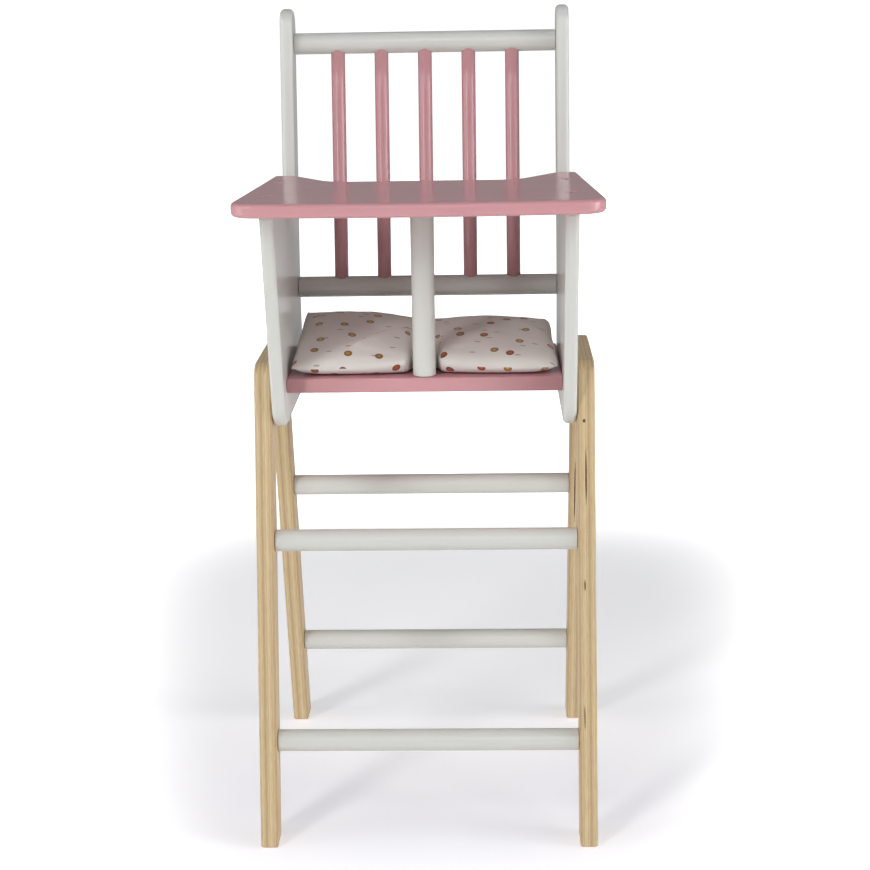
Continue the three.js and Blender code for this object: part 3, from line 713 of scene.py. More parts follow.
class DOLLCHAIR_OT_side_panels(bpy.types.Operator):
    """Builds the two painted side panels, each an arm and a back post in one board"""

    bl_idname = "doll_chair.side_panels"
    bl_label = "Side panels"

    def execute(self, context):
        boards = settings().boards
        arm_top = TRAY_LOW.z - boards.contact
        post_rear = lambda height: back_axis(height) + boards.post_depth - RAIL_DIAMETER - boards.post_cover
        bottom = PANEL_LOW.z
        radii = tuple(boards.panel_radii)
        corners = [
            (-boards.panel_front, bottom, radii[0]),
            (boards.panel_rear, bottom, radii[1]),
            (boards.panel_rear, LOWER_RAIL.z, radii[2]),
            (post_rear(PANEL_HIGH.z), PANEL_HIGH.z, radii[3]),
            (post_rear(PANEL_HIGH.z) - boards.post_depth, PANEL_HIGH.z, radii[4]),
            (post_rear(arm_top) - boards.post_depth, arm_top, radii[5]),
            (-boards.panel_front - boards.arm_reach, arm_top, radii[6]),
        ]
        holes = [(TOP_RAIL.y, TOP_RAIL.z), (LOWER_RAIL.y, LOWER_RAIL.z)]
        for name in ("right_seat_front_screw", "right_seat_rear_screw"):
            holes.append((middle(name).y, middle(name).z))
        for word, side in SIDES.items():
            mesh = bmesh.new()
            board(mesh, corners, PANEL_LOW.x, PANEL_HIGH.x, boards.paint_rounding, side_point(side), holes)
            finish_piece(f"{word}_panel", mesh, white_lacquer(), [f"{word}_side_panel"])
        return {"FINISHED"}


class DOLLCHAIR_OT_leg_frames(bpy.types.Operator):
    """Builds the two plywood leg frames, each a pair of splayed legs under a bar"""

    bl_idname = "doll_chair.leg_frames"
    bl_label = "Leg frames"

    def execute(self, context):
        boards = settings().boards
        slope = math.tan(boards.leg_lean)
        top = PLY_HIGH.z
        under = top - boards.bar_depth
        foot = boards.foot_reach
        radii = tuple(boards.leg_radii)
        half = [
            (foot, 0, radii[0]),
            (foot - slope * top, top, radii[1]),
        ]
        inner = [
            (foot - boards.leg_width - slope * under, under, radii[2]),
            (foot - boards.leg_width, 0, radii[0]),
        ]
        corners = [*half, *mirrored(half), *mirrored(inner), *inner]
        holes = [(middle(f"right_{name}_screw").y, middle(f"right_{name}_screw").z) for name in RUNGS]
        for name in ("right_frame_front_screw", "right_frame_rear_screw"):
            holes.append((middle(name).y, middle(name).z))
        for word, side in SIDES.items():
            mesh = bmesh.new()
            board(mesh, corners, PLY_LOW.x, PLY_HIGH.x, boards.ply_easing, side_point(side), holes)
            finish_piece(f"{word}_legs", mesh, birch_plywood(), [f"{word}_leg_frame"])
        return {"FINISHED"}


def mirrored(corners):
    """The corners of the other half of a symmetrical outline, in the order that carries the outline on."""
    return [(-across, up, radius) for across, up, radius in reversed(corners)]


class DOLLCHAIR_OT_seat(bpy.types.Operator):
    """Builds the painted seat board"""

    bl_idname = "doll_chair.seat"
    bl_label = "Seat board"

    def execute(self, context):
        corners = [
            (SEAT_LOW.x, SEAT_LOW.y, 0),
            (SEAT_HIGH.x, SEAT_LOW.y, 0),
            (SEAT_HIGH.x, SEAT_HIGH.y, 0),
            (SEAT_LOW.x, SEAT_HIGH.y, 0),
        ]
        under = SEAT_LOW.z + SEAT_HIGH.z
        turned_over = lambda across, along, through: Vector((across, along, under - through))
        mesh = bmesh.new()
        hole = middle("crotch_post_screw")
        easing = settings().boards.seat_easing
        board(mesh, corners, SEAT_LOW.z, SEAT_HIGH.z, easing, turned_over, [(hole.x, hole.y)])
        finish_piece("seat", mesh, pink_lacquer(), ["seat_board"])
        return {"FINISHED"}


class DOLLCHAIR_OT_tray(bpy.types.Operator):
    """Builds the painted tray, bowed in front and hollowed behind for the doll"""

    bl_idname = "doll_chair.tray"
    bl_label = "Tray"

    def execute(self, context):
        tray = settings().tray
        radii = tuple(tray.radii)
        front_half = PANEL_HIGH.x + tray.side_overhang
        rear_half = PANEL_HIGH.x + tray.rear_overhang
        lip = PANEL_LOW.x - tray.bay_inset
        rear = TRAY_HIGH.y
        point = TRAY_LOW.y - tray.bow_sagitta
        half = [
            (front_half, point + tray.front_point, radii[0]),
            (rear_half, rear, radii[1]),
            (lip, rear, radii[2]),
            (lip - tray.bay_flank, rear - tray.bay_depth, radii[3]),
        ]
        corners = [(0, point, tray.bow_radius), *half, *mirrored(half)]
        holes = []
        for word in SIDES:
            for end in ("front", "rear"):
                holes.append(tuple(middle(f"{word}_tray_{end}_screw"))[:2])
        mesh = bmesh.new()
        board(mesh, corners, TRAY_LOW.z, TRAY_HIGH.z, tray.rounding, lambda u, v, w: Vector((u, v, w)), holes)
        finish_piece("tray_board", mesh, pink_lacquer(), ["tray"])
        return {"FINISHED"}


class DOLLCHAIR_OT_dowels(bpy.types.Operator):
    """Builds the white dowels: four rungs, two back rails and the crotch post"""

    bl_idname = "doll_chair.dowels"
    bl_label = "Dowels"

    def execute(self, context):
        easing = settings().boards.dowel_easing
        for name in (*RUNGS, *RAILS):
            low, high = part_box(name)
            centre = (low + high) / 2
            mesh = bmesh.new()
            start = Vector((low.x, centre.y, centre.z))
            end = Vector((high.x, centre.y, centre.z))
            dowel(mesh, start, end, high.z - low.z, easing)
            finish_piece(f"{name}_dowel", mesh, white_lacquer(), [name])
        mesh = bmesh.new()
        centre = (POST_LOW + POST_HIGH) / 2
        start = Vector((centre.x, centre.y, POST_LOW.z))
        end = Vector((centre.x, centre.y, POST_HIGH.z))
        dowel(mesh, start, end, POST_HIGH.x - POST_LOW.x, easing)
        finish_piece("crotch_post_dowel", mesh, upright_white_lacquer(), ["crotch_post"])
        return {"FINISHED"}


def new_tree(name, inputs):
    """An empty Geometry Nodes tree with its inputs, given as their names and kinds."""
    tree = bpy.data.node_groups.new(name, "GeometryNodeTree")
    for way in ("INPUT", "OUTPUT"):
        tree.interface.new_socket(name="Geometry", in_out=way, socket_type="NodeSocketGeometry")
    for label, kind in inputs.items():
        tree.interface.new_socket(name=label, in_out="INPUT", socket_type=f"NodeSocket{kind}")
    return tree, tree.nodes.new("NodeGroupInput").outputs


def grow(tree, values, base):
    """Runs a tree on a base mesh with its inputs' values and returns the plain mesh that it makes."""
    holder = bpy.data.objects.new("holder", base)
    bpy.context.scene.collection.objects.link(holder)
    modifier = holder.modifiers.new("tree", "NODES")
    modifier.node_group = tree
    for item in tree.interface.items_tree:
        if item.in_out == "INPUT" and item.name in values:
            modifier[item.identifier] = values[item.name]
    return applied(holder)


def applied(holder):
    """The plain mesh that an object's modifiers make. The object is removed."""
    bpy.context.view_layer.update()
    graph = bpy.context.evaluated_depsgraph_get()
    data = bpy.data.meshes.new_from_object(holder.evaluated_get(graph))
    bpy.data.objects.remove(holder)
    return data


def spindle_tree(material):
    """Round rods in a level row, leaning back together."""
    sizes = dict.fromkeys(("Spacing", "Radius", "Length", "Lean"), "Float")
    tree, given = new_tree("spindles", {"Count": "Int", **sizes, "Middle": "Vector"})
    gaps = add(tree, "ShaderNodeMath", {0: given["Count"], 1: 1.0}, operation="SUBTRACT")
    span = add(tree, "ShaderNodeMath", {0: gaps, 1: given["Spacing"]}, operation="MULTIPLY")
    back = add(tree, "ShaderNodeMath", {0: span, 1: -0.5}, operation="MULTIPLY")
    offset = add(tree, "ShaderNodeCombineXYZ", {"X": back})
    start = add(tree, "ShaderNodeVectorMath", {0: offset, 1: given["Middle"]}, operation="ADD")
    step = add(tree, "ShaderNodeCombineXYZ", {"X": given["Spacing"]})
    line = {"Count": given["Count"], "Start Location": start, "Offset": step}
    row = add(tree, "GeometryNodeMeshLine", line)
    shape = {"Vertices": 40, "Side Segments": 6, "Radius": given["Radius"], "Depth": given["Length"]}
    rod = add(tree, "GeometryNodeMeshCylinder", shape)
    side = {"Geometry": rod, "Selection": rod.outputs["Side"], "Shade Smooth": True}
    round_side = add(tree, "GeometryNodeSetShadeSmooth", side)
    turn = add(tree, "ShaderNodeCombineXYZ", {"X": given["Lean"]})
    placed = {"Points": row, "Instance": round_side, "Rotation": turn}
    rods = add(tree, "GeometryNodeInstanceOnPoints", placed)
    real = add(tree, "GeometryNodeRealizeInstances", {"Geometry": rods})
    made = add(tree, "GeometryNodeSetMaterial", {"Geometry": real, "Material": material})
    add(tree, "NodeGroupOutput", {"Geometry": made})
    return tree


class DOLLCHAIR_OT_spindles(bpy.types.Operator):
    """Builds the row of pink spindles between the back rails"""

    bl_idname = "doll_chair.spindles"
    bl_label = "Spindles"

    def execute(self, context):
        low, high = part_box(SPINDLES[0])
        lean = math.atan(BACK_SLOPE)
        values = {
            "Count": len(SPINDLES),
            "Spacing": middle(SPINDLES[1]).x - middle(SPINDLES[0]).x,
            "Radius": SPINDLE_DIAMETER / 2,
            "Length": (high.z - low.z - SPINDLE_DIAMETER * math.sin(lean)) / math.cos(lean),
            "Lean": -lean,
            "Middle": (TOP_RAIL + LOWER_RAIL) / 2,
        }
        material = upright_pink_lacquer()
        data = grow(spindle_tree(material), values, bpy.data.meshes.new("spindle_base"))
        keep("spindles", data, material, SPINDLES)
        return {"FINISHED"}


def screw_tree(material):
    """Countersunk socket screws, one on each point, facing its outward direction."""
    sizes = ("Head radius", "Head height", "Shank radius", "Socket radius", "Socket cutter")
    tree, given = new_tree("screws", dict.fromkeys(sizes, "Float"))
    cone = {"Vertices": 32, "Radius Top": given["Head radius"], "Radius Bottom": given["Shank radius"]}
    head = add(tree, "GeometryNodeMeshCone", {**cone, "Depth": given["Head height"]})
    drop = add(tree, "ShaderNodeMath", {0: given["Head height"], 1: -1.0}, operation="MULTIPLY")
    down = add(tree, "ShaderNodeCombineXYZ", {"Z": drop})
    sunk = add(tree, "GeometryNodeTransform", {"Geometry": head, "Translation": down})
    hexagon = {"Vertices": 6, "Radius": given["Socket radius"], "Depth": given["Socket cutter"]}
    cutter = add(tree, "GeometryNodeMeshCylinder", hexagon)
    bored = add(tree, "GeometryNodeMeshBoolean", {"Mesh 1": sunk, "Mesh 2": cutter}, operation="DIFFERENCE")
    outward = add(tree, "GeometryNodeInputNamedAttribute", {"Name": "outward"}, data_type="FLOAT_VECTOR")
    reach = add(tree, "GeometryNodeInputNamedAttribute", {"Name": "shank_length"}, data_type="FLOAT")
    turn = add(tree, "FunctionNodeAlignRotationToVector", {"Vector": outward}, axis="Z")
    placed = {"Points": given["Geometry"], "Instance": bored, "Rotation": turn}
    heads = add(tree, "GeometryNodeInstanceOnPoints", placed)
    # A rod of unit length, stretched to each shank's length.
    shape = {"Vertices": 24, "Radius": given["Shank radius"], "Depth": 1.0}
    rod = add(tree, "GeometryNodeMeshCylinder", shape)
    hung = add(tree, "GeometryNodeTransform", {"Geometry": rod, "Translation": (0, 0, -0.5)})
    under = add(tree, "ShaderNodeVectorMath", {0: outward, "Scale": drop}, operation="SCALE")
    lowered = add(tree, "GeometryNodeSetPosition", {"Geometry": given["Geometry"], "Offset": under})
    stretch = add(tree, "ShaderNodeCombineXYZ", {"X": 1.0, "Y": 1.0, "Z": reach})
    placed = {"Points": lowered, "Instance": hung, "Rotation": turn, "Scale": stretch}
    shanks = add(tree, "GeometryNodeInstanceOnPoints", placed)
    both = add(tree, "GeometryNodeJoinGeometry", {0: heads})
    feed(tree, both, {0: shanks})
    real = add(tree, "GeometryNodeRealizeInstances", {"Geometry": both})
    made = add(tree, "GeometryNodeSetMaterial", {"Geometry": real, "Material": material})
    add(tree, "NodeGroupOutput", {"Geometry": made})
    return tree


def screw_face(name):
    """Where a screw's outer face lies, which way it looks and how long the screw is."""
    low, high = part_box(name)
    centre = (low + high) / 2
    size = high - low
    if size.z > size.x:
        up = name != "crotch_post_screw"
        outward = Vector((0, 0, 1 if up else -1))
        return Vector((centre.x, centre.y, high.z if up else low.z)), outward, size.z
    side = 1 if centre.x > 0 else -1
    return Vector((high.x if side > 0 else low.x, centre.y, centre.z)), Vector((side, 0, 0)), size.x


class DOLLCHAIR_OT_screws(bpy.types.Operator):
    """Drives a countersunk socket screw into each screw place of the frame"""

    bl_idname = "doll_chair.screws"
    bl_label = "Screws"

    def execute(self, context):
        screws = settings().screws
        values = {
            "Head radius": SCREW_HEAD / 2,
            "Head height": screws.head_height,
            "Shank radius": screws.shank / 2,
            "Socket radius": screws.socket / 2,
            "Socket cutter": screws.socket_depth * 2,
        }
        # The tray was lacquered with its screws in place.
        painted = [name for name in SCREWS if "tray" in name]
        plated = [name for name in SCREWS if name not in painted]
        for piece, names, material in (
            ("screw_set", plated, zinc_steel()),
            ("tray_screw_set", painted, pink_lacquer()),
        ):
            faces = [screw_face(name) for name in names]
            base = bpy.data.meshes.new("screw_base")
            base.from_pydata([place for place, _, _ in faces], [], [])
            outward = base.attributes.new("outward", "FLOAT_VECTOR", "POINT")
            outward.data.foreach_set("vector", [c for _, direction, _ in faces for c in direction])
            reach = base.attributes.new("shank_length", "FLOAT", "POINT")
            reach.data.foreach_set("value", [size - screws.head_height for _, _, size in faces])
            data = grow(screw_tree(material), values, base)
            keep(piece, data, material, names)
        return {"FINISHED"}


# The cushion

# How square the curves are, as powers: of the cover's corners, its front lobes, its section over the top, the
# fuller front of that section, and its section underneath.
CORNER_POWER = 10
LOBE_POWER = 6
CROWN_POWER = 6
FRONT_POWER = 14
UNDER_POWER = 10
# How fast the dip at the back and the lift of the front tips die away over the cushion's depth.
DIP_POWER = 3
TIP_POWER = 4
# How far the cells crowd towards the seams.
CROWDING = 0.12
# The underside's place in the unfolded layout, beside the top's, in metres.
UNDER_SHIFT = 0.3
CLOTH_QUALITY = 6


def smooth(value, low, high):
    """0 below low, 1 above high, and an even curve between them."""
    share = min(max((value - low) / (high - low), 0), 1)
    return share * share * (3 - 2 * share)


def arch(share, power):
    """The height of an arch, 1 in the middle and 0 where share is -1 or 1."""
    return math.sqrt(max(0, 1 - abs(share) ** power))


def cushion_point(u, v, above):
    """A point of the cushion: u runs from -1 at the left to 1 at the right, v from 0 in front to 1 behind."""
    cushion = settings().cushion
    half = CUSHION_HIGH.x - cushion.slack
    front = CUSHION_LOW.y + cushion.slack
    rear = CUSHION_HIGH.y - cushion.slack
    base = CUSHION_LOW.z
    notch = (POST_HIGH.x - POST_LOW.x) / 2 + cushion.notch_gap
    notch_depth = middle("crotch_post").y + notch - front
    ends = abs(2 * v - 1)
    halfway = 1 - ends * ends
    rear_corner = cushion.rear_corner if u > 0 else cushion.sharp_corner
    corner = rear_corner if v > 0.5 else cushion.sharp_corner
    x = u * (half - cushion.taper * v * v - cushion.waist * halfway - corner * ends**CORNER_POWER)
    lobe = min(abs(2 * (abs(x) - notch) / (half - notch) - 1), 1)
    opened = 1 - smooth(abs(x), notch, notch + cushion.notch_flare)
    near = front + max(cushion.lobe_corner * lobe**LOBE_POWER, notch_depth * opened)
    far = rear - cushion.waist * (1 - u * u) - rear_corner * abs(u) ** CORNER_POWER
    y = near + (far - near) * v
    rear_seam = cushion.seam_rear_left + (cushion.seam_rear_right - cushion.seam_rear_left) * smooth(u, -1, 1)
    dip = cushion.valley * math.exp(-((x / cushion.valley_width) ** 2)) * v**DIP_POWER
    tip = math.exp(-(((abs(x) - notch) / cushion.tip_width) ** 2)) * (1 - v) ** TIP_POWER
    seam = cushion.seam_front + (rear_seam - cushion.seam_front) * v - dip + cushion.tip_lift * tip
    crown = cushion.crown * (1 - tip / 2) + (cushion.rear_crown - cushion.crown) * v + cushion.swell * halfway
    if above:
        # The front is fuller than the back: it turns down in a shorter curve.
        fullness = FRONT_POWER if v < 0.5 else CROWN_POWER
        return Vector((x, y, base + seam + crown * arch(u, CROWN_POWER) * arch(2 * v - 1, fullness)))
    return Vector((x, y, base + seam - seam * arch(u, UNDER_POWER) * arch(2 * v - 1, UNDER_POWER)))


def crowded(share):
    """A share of the way across the cover, moved towards the nearer seam."""
    return share + CROWDING * math.sin(2 * math.pi * share) / (2 * math.pi)


def cushion_cover():
    """The sewn cover as a closed mesh, with its unfolded layout in metres as a UV map."""
    cushion = settings().cushion
    columns = cushion.cells
    rows = columns // 2
    mesh = bmesh.new()
    layout = mesh.loops.layers.uv.new("cloth")
    sharpness = mesh.edges.layers.float.new("crease_edge")
    seam = {}
    for above in (True, False):
        grid = {}
        for i in range(columns + 1):
            for j in range(rows + 1):
                on_seam = i in (0, columns) or j in (0, rows)
                if on_seam and (i, j) in seam:
                    grid[i, j] = seam[i, j]
                    continue
                u, v = 2 * crowded(i / columns) - 1, crowded(j / rows)
                grid[i, j] = mesh.verts.new(cushion_point(u, v, above))
                if on_seam:
                    seam[i, j] = grid[i, j]
        across = {}
        along = {}
        for j in range(rows + 1):
            across[columns // 2, j] = 0
            for i in range(columns // 2 + 1, columns + 1):
                across[i, j] = across[i - 1, j] + (grid[i, j].co - grid[i - 1, j].co).length
            for i in range(columns // 2 - 1, -1, -1):
                across[i, j] = across[i + 1, j] - (grid[i, j].co - grid[i + 1, j].co).length
        for i in range(columns + 1):
            along[i, rows] = 0
            for j in range(rows - 1, -1, -1):
                along[i, j] = along[i, j + 1] - (grid[i, j].co - grid[i, j + 1].co).length
        shift = 0 if above else UNDER_SHIFT
        for i in range(columns):
            for j in range(rows):
                places = [(i, j), (i + 1, j), (i + 1, j + 1), (i, j + 1)]
                if not above:
                    places.reverse()
                face = mesh.faces.new([grid[p] for p in places])
                face.smooth = True
                for loop, p in zip(face.loops, places):
                    loop[layout].uv = (across[p] + shift, along[p])
    sewn = set(seam.values())
    for edge in mesh.edges:
        if sewn.issuperset(edge.verts):
            edge[sharpness] = cushion.seam_sharpness
    return mesh


def swollen(data):
    """Blows the cover up with a short cloth simulation, each point moving no further than a cap."""
    cushion = settings().cushion
    scene = bpy.context.scene
    bag = bpy.data.objects.new("bag", data)
    scene.collection.objects.link(bag)
    cloth = bag.modifiers.new("cloth", "CLOTH")
    cloth.settings.use_pressure = True
    cloth.settings.uniform_pressure_force = cushion.pressure
    cloth.settings.effector_weights.gravity = 0
    cloth.settings.quality = CLOTH_QUALITY
    for moment in range(1, cushion.moments + 1):
        scene.frame_set(moment)
    blown = bpy.data.meshes.new_from_object(bag.evaluated_get(bpy.context.evaluated_depsgraph_get()))
    for point, target in zip(data.vertices, blown.vertices):
        move = target.co - point.co
        if move.length > cushion.cap:
            move *= cushion.cap / move.length
        point.co += move
    scene.frame_set(1)
    bpy.data.objects.remove(bag)
    bpy.data.meshes.remove(blown)


def subdivided(data):
    """The mesh with one level of subdivision."""
    holder = bpy.data.objects.new("holder", data)
    bpy.context.scene.collection.objects.link(holder)
    modifier = holder.modifiers.new("subdivision", "SUBSURF")
    modifier.levels = modifier.render_levels = 1
    return applied(holder)


# Creases in the cushion's top: where each starts and ends, front to back and across, its height, and how
# far it fades out ahead of its ridge and behind it.
CREASES = (
    ((-52, -26), (-16, 4), 3.2, 11, 1.4),
    ((-60, -20), (-26, 8), -1.4, 2, 10),
    ((-56, -25), (-14, -36), -1.0, 5, 3),
    ((16, 2), (60, -6), 1.2, 9, 3),
    ((62, 30), (86, 4), 1.0, 7, 3),
    ((-88, 20), (-70, 40), 1.0, 7, 3),
    ((22, -22), (44, -14), 0.8, 6, 3),
)
# Shares of a crease's length between which it rises at its start and dies away at its end.
CREASE_START = (-0.25, 0.2)
CREASE_END = (0.8, 1.25)
# Uneven stuffing: the width of each size of lump, and its height.
LUMPS = ((22 * MM, 0.6 * MM), (9 * MM, 0.25 * MM))
# Play round the crotch post, past the sides and past the back.
POST_PLAY = 0.3 * MM
SIDE_PLAY = 0.4 * MM
BACK_PLAY = 1 * MM
# Faces that look down more steeply than this stay flat on the seat.
FLAT_BELOW = -0.5


def creased(point):
    """How far the creases lift a point of the cushion's top."""
    lift = 0
    for start, end, height, ahead, behind in CREASES:
        start = Vector(start) * MM
        along = Vector(end) * MM - start
        across = Vector((-along.y, along.x)).normalized()
        offset = Vector((point.x, point.y)) - start
        share = offset.dot(along) / along.length_squared
        fade = smooth(share, *CREASE_START) * (1 - smooth(share, *CREASE_END))
        away = offset.dot(across) / MM
        width = ahead if away < 0 else behind
        lift += height * MM * fade * math.exp(-((away / width) ** 2))
    return lift


def crumpled(data):
    """Adds the creases and the uneven stuffing, and keeps the cushion off the boards around it."""
    post = middle("crotch_post")
    post_radius = (POST_HIGH.x - POST_LOW.x) / 2 + POST_PLAY
    side = CUSHION_HIGH.x + SIDE_PLAY
    for vertex in data.vertices:
        point = vertex.co
        up = max(vertex.normal.z, 0)
        uneven = sum(noise.noise(point / width) * height for width, height in LUMPS)
        moved = point + vertex.normal * uneven * (1 if vertex.normal.z > FLAT_BELOW else 0)
        moved.z += creased(point) * up
        moved.z = max(moved.z, CUSHION_LOW.z)
        moved.x = min(max(moved.x, -side), side)
        moved.y = min(moved.y, CUSHION_HIGH.y + BACK_PLAY)
        from_post = Vector((moved.x - post.x, moved.y - post.y))
        if from_post.length < post_radius:
            from_post *= post_radius / from_post.length
            moved.x, moved.y = post.x + from_post.x, post.y + from_post.y
        vertex.co = moved


class DOLLCHAIR_OT_cushion(bpy.types.Operator):
    """Sews and stuffs the loose seat cushion"""

    bl_idname = "doll_chair.cushion"
    bl_label = "Cushion"

    def execute(self, context):
        mesh = cushion_cover()
        bmesh.ops.recalc_face_normals(mesh, faces=mesh.faces)
        data = bpy.data.meshes.new("cover")
        mesh.to_mesh(data)
        mesh.free()
        swollen(data)
        data = subdivided(data)
        crumpled(data)
        data.name = "cushion"
        piece = keep("cushion", data, printed_cotton(), ["seat_cushion"], "cushion")
        return {"FINISHED"}


# The photograph's surroundings

CAMERA_PLACE = Vector((43.71, -1208.97, 579.18)) * MM
CAMERA_YAW = math.radians(-1.82)
CAMERA_PITCH = math.radians(14.74)
CAMERA_ROLL = math.radians(1.01)
CAMERA_FOCAL = 1760.8
PICTURE = 870
SENSOR = 36
# Each lamp's place, its width and height in metres, and its power in watts. They all aim at LAMP_AIM.
LAMPS = {
    "left_strip": ((-1.293, -1.78, 1.4), 0.45, 1.8, 22),
    "right_strip": ((1.609, -1.5, 1.2), 0.45, 1.4, 5.5),
    "left_sheet": ((-2.125, -0.569, 0.8), 1.0, 1.6, 12),
    "right_sheet": ((2.125, -0.569, 0.8), 1.0, 1.6, 23),
    "front_softbox": ((0, -2.2, 1.6), 0.8, 0.6, 5),
}
LAMP_AIM = Vector((0, 0, 0.35))
ROOM_LIGHT = 0.12
WHITE = (1, 1, 1, 1)
BLACK = (0, 0, 0, 1)
# How brightly the floor's paper, the backdrops and their mirror image glow.
PAPER_GLOW = 0.254
BACKDROP_GLOW = 1.05
MIRRORED_GLOW = 0.28
# The floor's corners, and the glare, just above it. Both in metres, as are the walls around them.
FLOOR = ((-3, -2, 0), (3, -2, 0), (3, 4, 0), (-3, 4, 0))
GLARE_HEIGHT = 0.1 * MM
STAGE_HALF = 4
WALL_PLACE = 3.9
WALL_FOOT = -1
WALL_HEAD = 4
MIRRORED_HALF = 1.5
MIRRORED_HEAD = 3
# The patch of floor that keeps its tone in the picture; the light burns the rest out. The light starts at
# PATCH_CLEAR of the way to the patch's edge and is full at PATCH_BURNT.
PATCH_MIDDLE = (0.0, 0.21, 0)
PATCH_HALF_DEPTH = 0.4
PATCH_HALF_WIDTH = 0.262
PATCH_SPREAD = 0.17
PATCH_CLEAR = 0.45
PATCH_BURNT = 1.8
NEAR_LIFT = (0.04, 0.055, 0.11, 1)
FAR_LIFT = (0.17, 0.18, 0.2, 1)


def camera():
    """The camera that took the picture."""
    east, north = math.sin(CAMERA_YAW), math.cos(CAMERA_YAW)
    flat, drop = math.cos(CAMERA_PITCH), math.sin(CAMERA_PITCH)
    forward = Vector((east * flat, north * flat, -drop))
    level = Vector((north, -east, 0))
    down = forward.cross(level)
    right = level * math.cos(CAMERA_ROLL) + down * math.sin(CAMERA_ROLL)
    below = down * math.cos(CAMERA_ROLL) - level * math.sin(CAMERA_ROLL)
    data = bpy.data.cameras.new("camera")
    data.sensor_width = SENSOR
    data.lens = CAMERA_FOCAL / PICTURE * SENSOR
    made = bpy.data.objects.new("camera", data)
    facing = Matrix((right, -below, -forward)).transposed().to_4x4()
    made.matrix_world = Matrix.Translation(CAMERA_PLACE) @ facing
    bpy.context.scene.collection.objects.link(made)
    bpy.context.scene.camera = made


def softbox(name, place, width, height, power):
    data = bpy.data.lights.new(name, "AREA")
    data.shape = "RECTANGLE"
    data.size = width
    data.size_y = height
    data.energy = power
    made = bpy.data.objects.new(name, data)
    aim = (LAMP_AIM - Vector(place)).to_track_quat("-Z", "Y")
    made.matrix_world = Matrix.Translation(place) @ aim.to_matrix().to_4x4()
    bpy.context.scene.collection.objects.link(made)


def flat_sheet(name, points, material, seen_by=None):
    """A sheet of the stage. seen_by names the one kind of ray that meets it; without it, every ray does."""
    data = bpy.data.meshes.new(name)
    data.from_pydata(points, [], [tuple(range(len(points)))])
    data.materials.append(material)
    made = bpy.data.objects.new(name, data)
    bpy.context.scene.collection.objects.link(made)
    if seen_by:
        for kind in ("camera", "diffuse", "glossy", "transmission", "shadow"):
            setattr(made, f"visible_{kind}", kind == seen_by)


def wall(half, head):
    """Corners of an upright sheet behind the chair."""
    corners = ((-half, WALL_FOOT), (half, WALL_FOOT), (half, head), (-half, head))
    return [Vector((x, WALL_PLACE, z)) for x, z in corners]


def studio_paper():
    """Matt white background paper."""
    values = {"Specular_IOR_Level": 0.1, "Emission_Color": WHITE, "Emission_Strength": PAPER_GLOW}
    made, tree, principled = new_material("studio_paper", Roughness=0.9, **values)
    place = add(tree, "ShaderNodeTexCoord").outputs["Object"]
    fibres = add(tree, "ShaderNodeTexNoise", {"Vector": place, "Scale": per(60), "Detail": 2.0})
    tone = add(tree, "ShaderNodeValToRGB", {"Fac": fibres}, [(0.3, "#e9e7e6"), (0.7, "#eceaea")])
    feed(tree, principled, {"Base Color": tone})
    return made


def studio_glare():
    """Light that burns the paper out to white around the chair, and lifts its tone under it."""
    made = bpy.data.materials.new("studio_glare")
    made.use_nodes = True
    tree = made.node_tree
    tree.nodes.remove(tree.nodes["Principled BSDF"])
    place = add(tree, "ShaderNodeTexCoord").outputs["Object"]
    # Distance from the middle of a patch with rounded corners, wider at the back: 1 on its edge.
    centred = add(tree, "ShaderNodeVectorMath", {0: place, 1: PATCH_MIDDLE}, operation="SUBTRACT")
    axes = add(tree, "ShaderNodeSeparateXYZ", {"Vector": centred}).outputs
    wider = {0: axes["Y"], 1: PATCH_SPREAD, 2: PATCH_HALF_WIDTH}
    half_width = add(tree, "ShaderNodeMath", wider, operation="MULTIPLY_ADD")
    across = add(tree, "ShaderNodeMath", {0: axes["X"], 1: half_width}, operation="DIVIDE")
    along = add(tree, "ShaderNodeMath", {0: axes["Y"], 1: PATCH_HALF_DEPTH}, operation="DIVIDE")
    shares = add(tree, "ShaderNodeCombineXYZ", {"X": across, "Y": along})
    squares = add(tree, "ShaderNodeVectorMath", {0: shares, 1: shares}, operation="MULTIPLY")
    reach = add(tree, "ShaderNodeVectorMath", {0: squares}, operation="LENGTH")
    edge = {"From Min": PATCH_CLEAR, "From Max": PATCH_BURNT}
    fade = add(tree, "ShaderNodeMapRange", {"Value": reach, **edge}, interpolation_type="SMOOTHSTEP")
    # The lamps already light the near end of the patch, so it is lifted less there.
    depth = add(tree, "ShaderNodeMapRange", {"Value": along, "From Min": -1.0, "From Max": 0.0})
    lift = add(tree, "ShaderNodeMix", {0: depth, 6: NEAR_LIFT, 7: FAR_LIFT}, data_type="RGBA")
    light = add(tree, "ShaderNodeMix", {0: fade, 6: lift, 7: WHITE}, data_type="RGBA")
    glow = add(tree, "ShaderNodeEmission", {"Color": light})
    clear = add(tree, "ShaderNodeBsdfTransparent")
    both = add(tree, "ShaderNodeAddShader", {0: glow, 1: clear})
    feed(tree, tree.nodes["Material Output"], {"Surface": both})
    return made


def backdrop_paper(name, brightness):
    """Background paper, evenly lit."""
    values = {"Base_Color": BLACK, "Emission_Color": WHITE, "Emission_Strength": brightness}
    return new_material(name, Roughness=1.0, **values)[0]


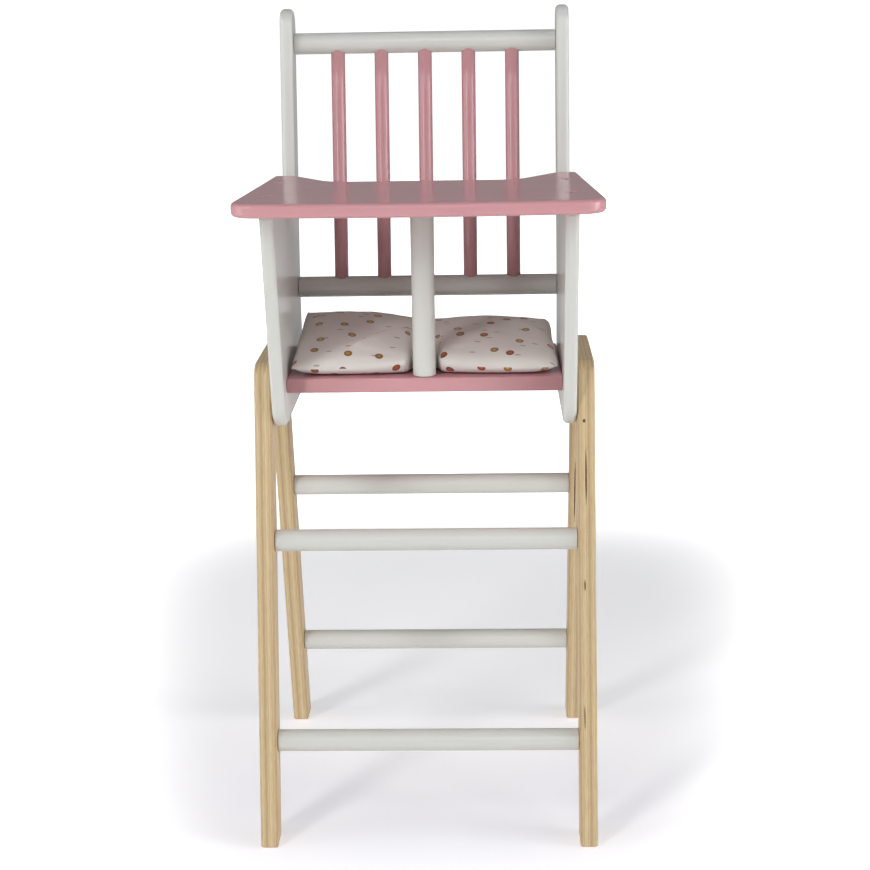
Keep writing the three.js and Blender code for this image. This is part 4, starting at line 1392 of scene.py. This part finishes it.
class DOLLCHAIR_OT_stage(bpy.types.Operator):
    """Sets up the camera, the lights, the floor and the backdrop"""

    bl_idname = "doll_chair.stage"
    bl_label = "Stage"

    def execute(self, context):
        scene = context.scene
        camera()
        for name, lamp in LAMPS.items():
            softbox(name, *lamp)
        flat_sheet("floor", FLOOR, studio_paper())
        ways = ((-1, -1), (1, -1), (1, 1), (-1, 1))
        glare = [(x * STAGE_HALF, y * STAGE_HALF, GLARE_HEIGHT) for x, y in ways]
        flat_sheet("glare", glare, studio_glare(), "camera")
        paper = backdrop_paper("backdrop_paper", BACKDROP_GLOW)
        for i, word in enumerate(("rear", "left", "front", "right")):
            turn = Matrix.Rotation(math.pi / 2 * i, 3, "Z")
            turned = [turn @ corner for corner in wall(STAGE_HALF, WALL_HEAD)]
            flat_sheet(f"{word}_backdrop", turned, paper, "camera")
        mirrored_paper = backdrop_paper("mirrored_paper", MIRRORED_GLOW)
        flat_sheet("mirrored_wall", wall(MIRRORED_HALF, MIRRORED_HEAD), mirrored_paper, "glossy")
        world = bpy.data.worlds.new("studio")
        world.use_nodes = True
        feed(world.node_tree, world.node_tree.nodes["Background"], {"Color": WHITE, "Strength": ROOM_LIGHT})
        scene.world = world
        scene.view_settings.view_transform = "Standard"
        return {"FINISHED"}


class DOLLCHAIR_PT_panel(bpy.types.Panel):
    """Sizes, colours and pieces of the doll chair"""

    bl_idname = "DOLLCHAIR_PT_panel"
    bl_label = "Doll chair"
    bl_space_type = "VIEW_3D"
    bl_region_type = "UI"
    bl_category = "Doll chair"

    def draw(self, context):
        chair = context.scene.doll_chair
        for group in (chair.boards, chair.tray, chair.finish, chair.screws, chair.cushion):
            box = self.layout.box()
            for name in group.bl_rna.properties.keys():
                if name not in ("rna_type", "name"):
                    box.prop(group, name)
        for operator in OPERATORS:
            self.layout.operator(operator.bl_idname)


OPERATORS = (
    DOLLCHAIR_OT_side_panels,
    DOLLCHAIR_OT_leg_frames,
    DOLLCHAIR_OT_seat,
    DOLLCHAIR_OT_tray,
    DOLLCHAIR_OT_dowels,
    DOLLCHAIR_OT_spindles,
    DOLLCHAIR_OT_screws,
    DOLLCHAIR_OT_cushion,
    DOLLCHAIR_OT_stage,
)
CLASSES = (
    BoardSettings,
    TraySettings,
    FinishSettings,
    ScrewSettings,
    CushionSettings,
    ChairSettings,
    *OPERATORS,
    DOLLCHAIR_PT_panel,
)


def register():
    for kind in CLASSES:
        bpy.utils.register_class(kind)
    bpy.types.Scene.doll_chair = PointerProperty(type=ChairSettings)


def unregister():
    del bpy.types.Scene.doll_chair
    for kind in reversed(CLASSES):
        bpy.utils.unregister_class(kind)


def main():
    register()
    for operator in OPERATORS:
        group, name = operator.bl_idname.split(".")
        getattr(getattr(bpy.ops, group), name)()


if __name__ == "__main__":
    main()
